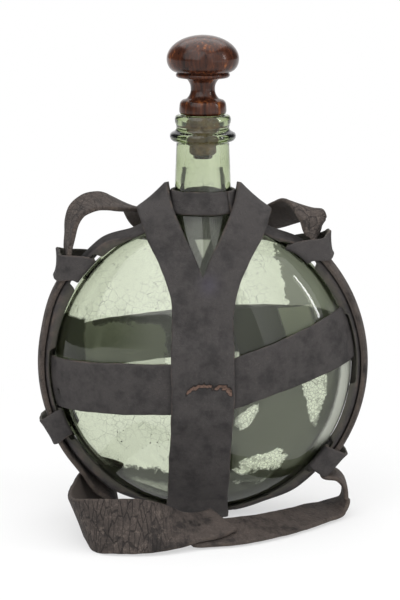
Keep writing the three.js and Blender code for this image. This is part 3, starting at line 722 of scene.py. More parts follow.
        # Darker along the body strap's edges.
        aside = at.right + at.jagged * 0.3
        beside = (aside - self.strap_left).smaller_gap(aside - self.strap_right)
        strap_line = (1.0 - beside.eased(*self.strap_line_width)) * at.cloud.eased(0.4, 0.56) * 0.55
        dark = base_shade.larger(strap_line)
        # The dark panes are painted shade, where the glass shows dark surroundings.
        for pane in self.shade_panes:
            aside = at.right + at.jagged * 0.25 + (at.up - self.lean_level) * pane.lean
            top = at.up + at.jagged * 0.2
            wide = aside.eased(pane.left, pane.left + pane.soft)
            wide = wide * (1.0 - aside.eased(pane.right - pane.soft, pane.right))
            tall = at.up.eased(pane.low, pane.low + pane.soft)
            tall = tall * (1.0 - top.eased(pane.high - pane.soft, pane.high))
            dark = dark.larger(wide * tall)
        return dark * at.front


@dataclass(frozen=True)
class WoodFinish:
    """Dark polished wood with its grain along the turning axis, in cells per metre."""

    name: str
    dark: Colour = (0.012, 0.0045, 0.003, 1.0)
    base: Colour = (0.078, 0.023, 0.010, 1.0)
    glint: Colour = (0.30, 0.10, 0.024, 1.0)
    roughness: float = 0.19
    grain_stretch: Triple = (520.0, 520.0, 42.0)
    broad_stretch: Triple = (90.0, 90.0, 14.0)
    grain_depth: float = 0.0004

    def build(self) -> Material:
        """Makes the material.

        Returns:
            The material.
        """
        shader = Shader(self.name)
        place = shader.place()
        grain = shader.noise(shader.scaled(place, self.grain_stretch), 1.0, 5.0, 0.62)
        broad = shader.noise(shader.scaled(place, self.broad_stretch), 1.0, 3.0)
        colour = (grain * 0.6 + broad * 0.4).eased(0.35, 0.66).between(self.dark, self.base)
        colour = (grain.eased(0.56, 0.74) * broad.eased(0.42, 0.62)).between(colour, self.glint)
        surface = shader.principled({
            "Base Color": colour,
            "Roughness": self.roughness + (grain - 0.5) * 0.12,
            "Specular IOR Level": 0.26,
            "Coat Weight": 0.08,
            "Coat Roughness": 0.15,
            "Normal": shader.bump(grain, 0.12, self.grain_depth),
        })
        return shader.done(surface)


@dataclass(frozen=True)
class PlainFinish:
    """A matte finish of one colour with a slight mottle."""

    name: str
    dark: Colour
    base: Colour
    roughness: float = 0.85
    scale: float = 300.0

    def build(self) -> Material:
        """Makes the material.

        Returns:
            The material.
        """
        shader = Shader(self.name)
        spots = shader.noise(shader.place(), self.scale, 4.0)
        surface = shader.principled({
            "Base Color": spots.eased(0.35, 0.65).between(self.dark, self.base),
            "Roughness": self.roughness,
            "Normal": shader.bump(spots, 0.3, 0.0005),
        })
        return shader.done(surface)


@dataclass(frozen=True)
class FloorFinish:
    """A pale floor that keeps the shadow and turns to white away from the object."""

    name: str = "pale_floor"
    colour: Colour = (0.86, 0.86, 0.86, 1.0)
    lift: float = 0.55
    near: float = 0.10
    far: float = 0.32

    def build(self) -> Material:
        """Makes the material.

        Returns:
            The material.
        """
        shader = Shader(self.name)
        camera, glossy, through = shader.rays()
        seen = camera.larger(glossy).larger(through)
        reach = shader.out("ShaderNodeVectorMath", "Value", {0: shader.place()}, operation="LENGTH")
        amount = seen * (self.lift + reach.eased(self.near, self.far) * (1.0 - self.lift))
        lit = shader.principled({"Base Color": self.colour, "Roughness": 0.9, "Specular IOR Level": 0.1})
        white = shader.out("ShaderNodeEmission", 0, {"Color": WHITE, "Strength": 1.0})
        return shader.done(shader.coated(amount, lit, white))


# The flask's surface


@dataclass(frozen=True)
class FlaskForm:
    """The shape of the flask, which the glass and the straps on it share."""

    radius: float = 79.5
    half_depth: float = 39.0
    wall: float = 3.0
    base_z: float = 6.4
    base_cut: float = 3.2
    shoulder_blend: float = 18.0
    neck_root: float = 15.4
    neck_top: float = 13.9
    neck_length: float = 40.0
    probe: float = 0.05
    settle_rounds: int = 14

    @property
    def lens_z(self) -> float:
        """Height of the middle of the lens."""
        return self.base_z - self.base_cut + self.radius

    @property
    def lens_top(self) -> float:
        """Height of the top of the lens, inside the neck."""
        return self.lens_z + self.radius

    @property
    def lip_foot(self) -> float:
        """Height of the foot of the lip."""
        return self.lens_top + self.neck_length

    @property
    def semi_axes(self) -> Array:
        """Half sizes of the lens."""
        return np.array([self.radius, self.half_depth, self.radius])

    def neck_radius(self, z: Array) -> Array:
        """Outer radius of the neck."""
        return self.neck_root + (self.neck_top - self.neck_root) * (z - self.lens_top) / self.neck_length

    def distance(self, points: Array) -> Array:
        """Signed distance from the flask, to first order.

        Args:
            points: Points on the last axis.

        Returns:
            The distances.
        """
        shares = (points - np.array([0.0, 0.0, self.lens_z])) / self.semi_axes
        size = np.maximum(np.linalg.norm(shares, axis=-1), 1e-6)
        lens = (size - 1.0) * size / np.maximum(np.linalg.norm(shares / self.semi_axes, axis=-1), 1e-9)
        neck = np.hypot(points[..., 0], points[..., 1]) - self.neck_radius(points[..., 2])
        blend = self.shoulder_blend
        overlap = np.maximum(blend - np.abs(lens - neck), 0.0) / blend
        joined = np.minimum(lens, neck) - overlap ** 2 * blend / 4.0
        return np.where(points[..., 2] < self.lens_z, lens, joined)

    def normal(self, points: Array) -> Array:
        """Directions away from the flask.

        Args:
            points: Points on the last axis.

        Returns:
            Unit vectors.
        """
        steps = self.probe * np.eye(3)
        slopes = [self.distance(points + step) - self.distance(points - step) for step in steps]
        return unit(np.stack(slopes, axis=-1))

    def settle(self, guide: Array, lift: Array | float) -> Array:
        """Moves points onto a layer that stands off the flask, or off its flat base.

        Args:
            guide: Points near the layer.
            lift: Height of the layer.

        Returns:
            The points on the layer.
        """
        points = np.array(guide, float)
        lift = np.broadcast_to(np.asarray(lift, float), points.shape[:-1])
        for _ in range(self.settle_rounds):
            points += self.normal(points) * (lift - self.distance(points))[..., None]
        points[..., 2] = np.maximum(points[..., 2], self.base_z - lift)
        return points

    def rim_guide(self, angle: Array, across: Array, lift: Array, side: Array) -> Array:
        """Points round the rim.

        Args:
            angle: Degrees down from the top.
            across: Distance across the rim, to the back.
            lift: Height off the glass.
            side: -1 for the left and 1 for the right.

        Returns:
            The points.
        """
        turn = across / (self.half_depth ** 2 / self.radius + lift)
        slope = np.arctan(np.tan(turn) * self.half_depth / self.radius)
        reach = (self.radius + lift) * np.cos(slope)
        turned = np.radians(angle)
        return np.stack([
            side * reach * np.sin(turned),
            (self.half_depth + lift) * np.sin(slope),
            self.lens_z + reach * np.cos(turned),
        ], axis=-1)


FORM = FlaskForm()


# Meshes


def make_object(name: str, points: Array, faces: list[tuple[int, ...]], material: Material) -> Object:
    """Makes a smooth mesh object, with its faces turned outward.

    Args:
        name: The object's name.
        points: Vertices in millimetres.
        faces: Vertex numbers of each face.
        material: Its material.

    Returns:
        The object, linked to the scene.
    """
    mesh = bpy.data.meshes.new(name)
    mesh.from_pydata((np.asarray(points) * MM).tolist(), [], faces)
    work = bmesh.new()
    work.from_mesh(mesh)
    bmesh.ops.recalc_face_normals(work, faces=work.faces)
    work.to_mesh(mesh)
    work.free()
    mesh.materials.append(material)
    mesh.shade_smooth()
    made = bpy.data.objects.new(name, mesh)
    bpy.context.scene.collection.objects.link(made)
    return made


def keep_numbers(made: Object, name: str, values: Array) -> None:
    """Keeps one number for each vertex as a mesh attribute."""
    layer = made.data.attributes.new(name, "FLOAT", "POINT")
    layer.data.foreach_set("value", np.asarray(values, np.float32).ravel())


def keep_vectors(made: Object, name: str, values: Array) -> None:
    """Keeps one vector for each vertex as a mesh attribute."""
    layer = made.data.attributes.new(name, "FLOAT_VECTOR", "POINT")
    layer.data.foreach_set("vector", np.asarray(values, np.float32).ravel())


def keep_above(made: Object, height: float) -> None:
    """Lifts the vertices that lie below a height in millimetres."""
    for vertex in made.data.vertices:
        vertex.co.z = max(vertex.co.z, height * MM)


class Growth(NodeTree):
    """A Geometry Nodes tree with named inputs, whose result is kept as a plain mesh."""

    def __init__(self, name: str) -> None:
        """Starts an empty tree.

        Args:
            name: The tree's name.
        """
        super().__init__(bpy.data.node_groups.new(name, "GeometryNodeTree"))
        self.name = name
        self.tree.interface.new_socket("Geometry", in_out="INPUT", socket_type="NodeSocketGeometry")
        self.tree.interface.new_socket("Geometry", in_out="OUTPUT", socket_type="NodeSocketGeometry")
        self.entry = self.tree.nodes.new("NodeGroupInput")

    def input(self, name: str, kind: str = "Float") -> Signal:
        """Adds a named input."""
        self.tree.interface.new_socket(name, in_out="INPUT", socket_type=f"NodeSocket{kind}")
        return Signal(self, self.entry.outputs[name])

    def stored(self, name: str, kind: str) -> Signal:
        """Reads an attribute of the carrier."""
        return self.out("GeometryNodeInputNamedAttribute", 0, {"Name": name}, data_type=kind)

    def chance(self, low: "Signal | float", high: "Signal | float", seed: Signal) -> Signal:
        """A random number for each point, between two values."""
        return self.out("FunctionNodeRandomValue", 1, {2: low, 3: high, "Seed": seed}, data_type="FLOAT")

    def finish(self, grown: Signal, finish: Signal) -> None:
        """Ends the tree in plain geometry with its material.

        Args:
            grown: The instances.
            finish: The material.
        """
        plain = self.out("GeometryNodeRealizeInstances", 0, {"Geometry": grown})
        dressed = self.out("GeometryNodeSetMaterial", 0, {"Geometry": plain, "Material": finish})
        self.node("NodeGroupOutput", {"Geometry": dressed})

    def grow(self, carrier: Object, values: dict[str, object]) -> Object:
        """Runs the tree on a carrier, which is removed.

        Args:
            carrier: The mesh that carries the points or faces.
            values: Value of each named input.

        Returns:
            The result as a plain mesh object.
        """
        modifier = carrier.modifiers.new(self.name, "NODES")
        modifier.node_group = self.tree
        for item in self.tree.interface.items_tree:
            if item.in_out == "INPUT" and item.name in values:
                modifier[item.identifier] = values[item.name]
        seen = carrier.evaluated_get(bpy.context.evaluated_depsgraph_get())
        mesh = bpy.data.meshes.new_from_object(seen)
        carrier.modifiers.remove(modifier)
        bpy.data.objects.remove(carrier)
        mesh.shade_smooth()
        made = bpy.data.objects.new(self.name, mesh)
        bpy.context.scene.collection.objects.link(made)
        return made


@dataclass
class Sheet:
    """A strap as a grid of points on its inner face, thickened outward with rounded cut edges."""

    name: str
    inner: Array
    thickness: float
    facing: Array
    rounding: float = 1.2
    edge_share: float = 0.22
    ends_cut: bool = True
    present: Array | None = None
    slit: Array | None = None
    raised: Array | None = None
    lowered: Array | None = None
    numbers: dict[str, Array] = field(default_factory=dict)
    through: tuple[str, ...] = ("crack",)

    def arcs(self) -> tuple[Array, Array]:
        """Distances across from the first column, and along from the first row."""
        return travelled(self.inner.swapaxes(0, 1)).T, travelled(self.inner)

    def normals(self) -> Array:
        """Unit normals of the grid on the outer side.

        Returns:
            The normals.
        """
        along = np.gradient(self.inner, axis=0)
        across = np.gradient(self.inner, axis=1)
        normals = unit(np.cross(along, across))
        flip = np.sign(np.sum(normals * self.facing, axis=-1, keepdims=True))
        return normals * np.where(flip == 0.0, 1.0, flip)

    def depths(self) -> Array:
        """Distance of each point from the nearest cut edge.

        Returns:
            The distances.
        """
        across, along = self.arcs()
        depth = np.minimum(across, across[:, -1:] - across)
        if self.ends_cut:
            depth = np.minimum(depth, np.minimum(along, along[-1:] - along))
        if self.slit is not None:
            depth = np.minimum(depth, self.slit)
        return depth

    def faces(self) -> list[tuple[int, ...]]:
        """Faces of the outer side, the inner side and the walls between them.

        Returns:
            Vertex numbers of each face.
        """
        rows, cols = self.inner.shape[:2]
        present = np.ones((rows - 1, cols - 1), bool) if self.present is None else self.present
        top = np.arange(rows * cols).reshape(rows, cols)
        low = top + rows * cols
        faces = []
        for i, j in zip(*np.nonzero(present)):
            faces.append((top[i, j], top[i + 1, j], top[i + 1, j + 1], top[i, j + 1]))
            faces.append((low[i, j], low[i, j + 1], low[i + 1, j + 1], low[i + 1, j]))
        padded = np.pad(present, 1)
        for i in range(rows):
            for j in range(cols):
                if i < rows - 1 and padded[i + 1, j] != padded[i + 1, j + 1]:
                    faces.append((top[i, j], top[i + 1, j], low[i + 1, j], low[i, j]))
                if j < cols - 1 and padded[i, j + 1] != padded[i + 1, j + 1]:
                    faces.append((top[i, j], top[i, j + 1], low[i, j + 1], low[i, j]))
        return [tuple(int(n) for n in face) for face in faces]

    def build(self, material: Material) -> Object:
        """Makes the strap's mesh with its measures for the leather.

        Args:
            material: The leather.

        Returns:
            The object.
        """
        depth = self.depths()
        across, along = self.arcs()
        normals = self.normals()
        fall = 1.0 - np.clip(depth / self.rounding, 0.0, 1.0)
        full = self.edge_share + (1.0 - self.edge_share) * np.sqrt(1.0 - fall ** 2)
        half = self.thickness / 2.0 * full
        middle = self.inner + normals * self.thickness / 2.0
        raised = 0.0 if self.raised is None else self.raised
        lowered = 0.0 if self.lowered is None else self.lowered
        outer = middle + normals * (half + raised)[..., None]
        inner = middle - normals * (half + lowered)[..., None]
        points = np.concatenate([outer.reshape(-1, 3), inner.reshape(-1, 3)])
        made = make_object(self.name, points, self.faces(), material)
        keep_numbers(made, "edge", np.tile(depth.ravel(), 2))
        keep_numbers(made, "flesh", np.repeat([0.0, 1.0], depth.size))
        for name in ("tear", "stain", "crack"):
            values = self.numbers.get(name, np.zeros(depth.shape))
            under = values if name in self.through else np.zeros(depth.shape)
            keep_numbers(made, name, np.concatenate([values.ravel(), under.ravel()]))
        middle = np.broadcast_to(along[:, along.shape[1] // 2, None], along.shape)
        flat = np.stack([across, middle], axis=-1).reshape(-1, 2) / UV_LENGTH
        self._lay_out(made, np.tile(flat, (2, 1)))
        return made

    @staticmethod
    def _lay_out(made: Object, flat: Array) -> None:
        """Writes the UV map from places on the flat strap.

        Args:
            made: The object.
            flat: Place of each vertex, across and along.
        """
        mesh = made.data
        loops = np.zeros(len(mesh.loops), np.int32)
        mesh.loops.foreach_get("vertex_index", loops)
        layer = mesh.uv_layers.new(name="UVMap")
        layer.data.foreach_set("uv", flat[loops].astype(np.float32).ravel())


def ring_object(name: str, rings: list[Array], material: Material, closed: bool = False) -> Object:
    """A skin through rings of points, capped at its ends unless it closes on itself.

    Args:
        name: The object's name.
        rings: Rings of the same number of points.
        material: Its material.
        closed: True if the last ring joins the first.

    Returns:
        The object.
    """
    count = len(rings[0])
    number = len(rings)
    faces = []
    for i in range(number if closed else number - 1):
        a, b = i * count, (i + 1) % number * count
        faces += [(a + j, a + (j + 1) % count, b + (j + 1) % count, b + j) for j in range(count)]
    points = np.concatenate(rings)
    if not closed:
        points = np.vstack([points, rings[0].mean(axis=0), rings[-1].mean(axis=0)])
        last = (number - 1) * count
        faces += [((j + 1) % count, j, len(points) - 2) for j in range(count)]
        faces += [(last + j, last + (j + 1) % count, len(points) - 1) for j in range(count)]
    return make_object(name, points, faces, material)


def lathe_rings(profile: Array, count: int) -> list[Array]:
    """Rings of a turned piece.

    Args:
        profile: Pairs of a radius and a height.
        count: Points in each ring.

    Returns:
        The rings.
    """
    turn = np.linspace(0.0, 2.0 * math.pi, count, endpoint=False)
    return [
        np.stack([radius * np.cos(turn), radius * np.sin(turn), np.full(count, height)], axis=-1)
        for radius, height in profile]


# Glass


@dataclass
class GlassFlask:
    """The blown flask, with its lip and its uneven inside."""

    form: FlaskForm = FORM
    lip_height: float = 14.0
    lip_radius: float = 14.7
    lip_ring: float = 17.4
    bore: float = 9.2
    bore_depth: float = 16.0
    thicker_neck: float = 1.3
    outer_crest: float = 68.0
    inner_crest: float = 72.0
    points: int = 160
    lip_steps: int = 70
    lens_rings: int = 90
    shoulder_rings: int = 40
    neck_rings: int = 22
    inside_rings: int = 80
    search_reach: float = 1.2
    search_rounds: int = 36
    bore_share: float = 0.7
    speck_density: float = 9000.0
    speck_sizes: Span = (0.12, 0.5)
    speck_thickness: float = 0.08
    speck_heights: tuple[float, ...] = (20.0, 34.0, 60.0, 110.0)
    speck_shares: tuple[float, ...] = (0.6, 1.0, 0.35, 0.08)
    speck_seed: int = 11

    def ring(self, z: float, inset: float) -> Array:
        """One ring of the flask.

        Args:
            z: Height of the ring.
            inset: Depth inside the outer surface.

        Returns:
            The points of the ring.
        """
        turn = np.linspace(0.0, 2.0 * math.pi, self.points, endpoint=False)
        wide, deep = self.form.radius * np.cos(turn), self.form.half_depth * np.sin(turn)
        heading = np.stack([wide, deep, np.zeros(self.points)], axis=-1)
        near = np.zeros(self.points)
        far = np.full(self.points, self.search_reach)
        for _ in range(self.search_rounds):
            middle = (near + far) / 2.0
            place = heading * middle[:, None]
            place[:, 2] = z
            inside = self.form.distance(place) < -inset
            near = np.where(inside, middle, near)
            far = np.where(inside, far, middle)
        place = heading * far[:, None]
        place[:, 2] = z
        return place

    def lip_profile(self) -> Array:
        """Radius and height of the lip, from the top of the neck over the lip into the bore.

        Returns:
            The profile.
        """
        groove = self.lip_radius - 0.7
        corners = np.array([
            (self.form.neck_top, 0.0), (self.lip_ring - 1.2, 0.5), (self.lip_ring - 0.2, 1.8),
            (self.lip_ring, 3.0), (self.lip_ring - 0.6, 4.4), (groove + 0.5, 5.8), (groove, 7.4),
            (groove + 0.2, 8.8), (self.lip_radius, 10.2), (self.lip_radius, 12.2),
            (self.lip_radius - 0.8, self.lip_height - 0.3), (self.lip_radius - 2.2, self.lip_height),
            (self.bore + 0.9, self.lip_height - 0.1), (self.bore, self.lip_height - 1.2),
            (self.bore, self.lip_height - self.bore_depth),
        ])
        smooth = spline(corners, self.lip_steps)
        return np.stack([smooth[:, 0], smooth[:, 1] + self.form.lip_foot], axis=-1)

    def rings(self) -> tuple[list[Array], list[Array]]:
        """Rings up the outside to the bore, and rings down the inside.

        Returns:
            The rings of the outside and of the inside.
        """
        form = self.form
        low = math.asin((form.base_z - form.lens_z) / form.radius)
        high = math.radians(self.outer_crest)
        outer_z = form.lens_z + form.radius * np.sin(np.linspace(low, high, self.lens_rings))
        shoulder_z = np.linspace(outer_z[-1], form.lip_foot, self.shoulder_rings)[1:-1]
        foot = self.ring(form.base_z, 0.0)
        under = [foot * np.array([share, share, 1.0]) for share in (0.35, 0.7, 0.93)]
        outside = under + [self.ring(z, 0.0) for z in np.concatenate([outer_z, shoulder_z])]
        outside += lathe_rings(self.lip_profile(), self.points)
        root_wall = form.wall * self.thicker_neck
        inside = []
        for share in np.linspace(self.bore_share, 0.0, self.neck_rings):
            wall = root_wall + (form.neck_root - self.bore - root_wall) * share
            inside.append(self.ring(form.lens_top + form.neck_length * share, wall))
        hollow = form.radius - form.wall
        floor = math.asin((form.base_z - form.lens_z + form.wall) / hollow)
        for angle in np.linspace(math.radians(self.inner_crest), floor, self.inside_rings):
            inside.append(self.ring(form.lens_z + hollow * math.sin(angle), form.wall))
        inside += [inside[-1] * np.array([share, share, 1.0]) for share in (0.9, 0.6, 0.3)]
        return outside, inside

    def specks(self, dirt: Material) -> Object:
        """Scatters dried specks low on the inside with Geometry Nodes.

        Args:
            dirt: Their finish.

        Returns:
            The specks.
        """
        growth = Growth("glass_dried_specks")
        bed = Signal(growth, growth.entry.outputs["Geometry"])
        density, smallest, largest = (growth.input(name) for name in ("Density", "Smallest", "Largest"))
        finish, seed = growth.input("Dirt", "Material"), growth.input("Seed", "Int")
        spread = growth.node("GeometryNodeDistributePointsOnFaces", {
            "Mesh": bed, "Density": density * growth.stored("where", "FLOAT"), "Seed": seed})
        size = growth.chance(smallest, largest, seed)
        thin = growth.chance(0.3, 1.0, seed)
        flat = self.speck_thickness * MM
        shape = growth.out("ShaderNodeCombineXYZ", 0, {"X": size, "Y": size * thin, "Z": flat})
        grain = growth.out("GeometryNodeMeshIcoSphere", "Mesh", {"Radius": 1.0, "Subdivisions": 1})
        grown = growth.out("GeometryNodeInstanceOnPoints", 0, {
            "Points": Signal(growth, spread.outputs["Points"]), "Instance": grain,
            "Rotation": Signal(growth, spread.outputs["Rotation"]), "Scale": shape})
        growth.finish(grown, finish)
        form = self.form
        levels = np.linspace(form.base_z + form.wall + 1.0, form.lens_z + 30.0, 60)
        carrier = ring_object("speck_bed", [self.ring(z, form.wall + 0.2) for z in levels], dirt)
        height = np.array([vertex.co.z for vertex in carrier.data.vertices]) / MM
        keep_numbers(carrier, "where", np.interp(height, self.speck_heights, self.speck_shares))
        least, most = self.speck_sizes
        made = growth.grow(carrier, {
            "Density": self.speck_density, "Smallest": least * MM, "Largest": most * MM, "Dirt": dirt,
            "Seed": self.speck_seed})
        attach(made, Body.FLASK.value)
        return made

    def build(self, glass: Material) -> Object:
        """Makes the flask, and marks its inside for the dried film.

        Args:
            glass: Its finish.

        Returns:
            The flask.
        """
        outside, inside = self.rings()
        made = ring_object("glass_canteen_flask", outside + inside, glass)
        first = len(outside) * self.points
        last = first + len(inside) * self.points
        numbers = np.arange(len(made.data.vertices))
        keep_numbers(made, "film", (numbers >= first) & ((numbers < last) | (numbers == last + 1)))
        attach(made, Body.FLASK.value)
        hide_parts("glass_flask")
        return made


# Stopper


@dataclass
class Stopper:
    """The turned knob with its peg, and the cork sleeve."""

    flask: GlassFlask
    gap: float = 0.3
    knob_radius: float = 19.0
    knob_height: float = 19.5
    knob_widest: float = 0.36
    disc_radius: float = 14.2
    disc_height: float = 2.7
    waist_radius: float = 6.4
    waist_height: float = 11.8
    collar_radius: float = 12.4
    collar_height: float = 7.4
    peg_radius: float = 5.2
    peg_drop: float = 2.0
    cork_length: float = 21.0
    cork_taper: float = 1.6
    cork_chamfer: float = 1.2
    knob_points: int = 96
    cork_points: int = 64

    @property
    def lip_top(self) -> float:
        """Height of the top of the lip, which the cork is level with."""
        return self.flask.form.lip_foot + self.flask.lip_height

    @property
    def cork_end(self) -> float:
        """Height of the lower end of the cork."""
        return self.lip_top - self.cork_length

    def knob_profile(self) -> Array:
        """Radius and height from the end of the peg to the crown.

        Returns:
            The profile.
        """
        foot = self.lip_top + self.gap
        peg_end = self.cork_end - self.peg_drop
        collar_top = foot + self.collar_height
        disc_foot = collar_top + self.waist_height
        knob_foot = disc_foot + self.disc_height
        widest = knob_foot + self.knob_height * self.knob_widest
        peg = [(0.05, peg_end), (self.peg_radius - 0.6, peg_end), (self.peg_radius, peg_end + 0.6)]
        collar = spline(np.array([
            (self.collar_radius - 1.0, foot), (self.collar_radius - 0.1, foot + 1.0),
            (self.collar_radius, foot + 3.2), (self.collar_radius - 0.5, collar_top - 1.2),
            (self.collar_radius - 1.5, collar_top)]), 20)
        shares = np.linspace(0.06, 0.94, 22)
        bow = np.abs(2.0 * shares - 1.0) ** 2.4
        reach = self.waist_radius + (self.collar_radius - 3.0 - self.waist_radius) * bow
        waist = np.stack([reach, collar_top + self.waist_height * shares], axis=-1)
        disc = spline(np.array([
            (self.disc_radius - 1.0, disc_foot), (self.disc_radius - 0.1, disc_foot + 0.8),
            (self.disc_radius - 0.1, knob_foot - 0.8), (self.disc_radius - 1.0, knob_foot)]), 12)
        turn = np.radians(np.linspace(4.0, 88.0, 16))
        under = np.stack([
            self.disc_radius - 1.0 + (self.knob_radius - self.disc_radius + 1.0) * np.sin(turn),
            knob_foot + (widest - knob_foot) * (1.0 - np.cos(turn))], axis=-1)
        turn = np.radians(np.linspace(0.0, 89.5, 40))
        over = np.stack([
            self.knob_radius * np.cos(turn),
            widest + (knob_foot + self.knob_height - widest) * np.sin(turn)], axis=-1)
        body = [(self.peg_radius, foot - 0.05), (self.peg_radius + 0.1, foot)]
        return np.vstack([peg, body, collar, waist, disc, under, over])

    def cork_profile(self) -> Array:
        """Radius and height round the section of the cork sleeve.

        Returns:
            The profile.
        """
        top = self.flask.bore - self.gap
        tip = top - self.cork_taper
        hole = self.peg_radius + self.gap
        end = self.cork_end
        return np.array([
            (hole, end), (tip - self.cork_chamfer, end), (tip, end + self.cork_chamfer),
            (top, self.lip_top - self.cork_length / 3.0), (top, self.lip_top), (hole, self.lip_top)])

    def build(self, wood: Material, cork: Material) -> list[Object]:
        """Makes the knob and the cork.

        Args:
            wood: Finish of the knob.
            cork: Finish of the sleeve.

        Returns:
            The two pieces.
        """
        turned = lathe_rings(self.knob_profile(), self.knob_points)
        knob = ring_object("turned_stopper_knob", turned, wood)
        bored = lathe_rings(self.cork_profile(), self.cork_points)
        sleeve = ring_object("stopper_cork_sleeve", bored, cork, closed=True)
        for made, node, slot in ((knob, "stopper_knob", "wood"), (sleeve, "stopper_cork", "cork")):
            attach(made, Body.STOPPER.value)
            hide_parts(node)
        return [knob, sleeve]


# Harness

TEAR_LINE = [
    (-9.0, 76.6), (-5.0, 79.6), (-1.0, 81.0), (3.5, 80.8), (6.0, 79.4), (8.5, 80.6), (12.0, 80.0),
    (14.6, 78.0), (15.6, 75.8)]


@dataclass(frozen=True)
class KeeperForm:
    """How a keeper sits: degrees down from the top, side, skew and slack in millimetres."""

    angle: float
    side: Side
    skew: float
    slack: float


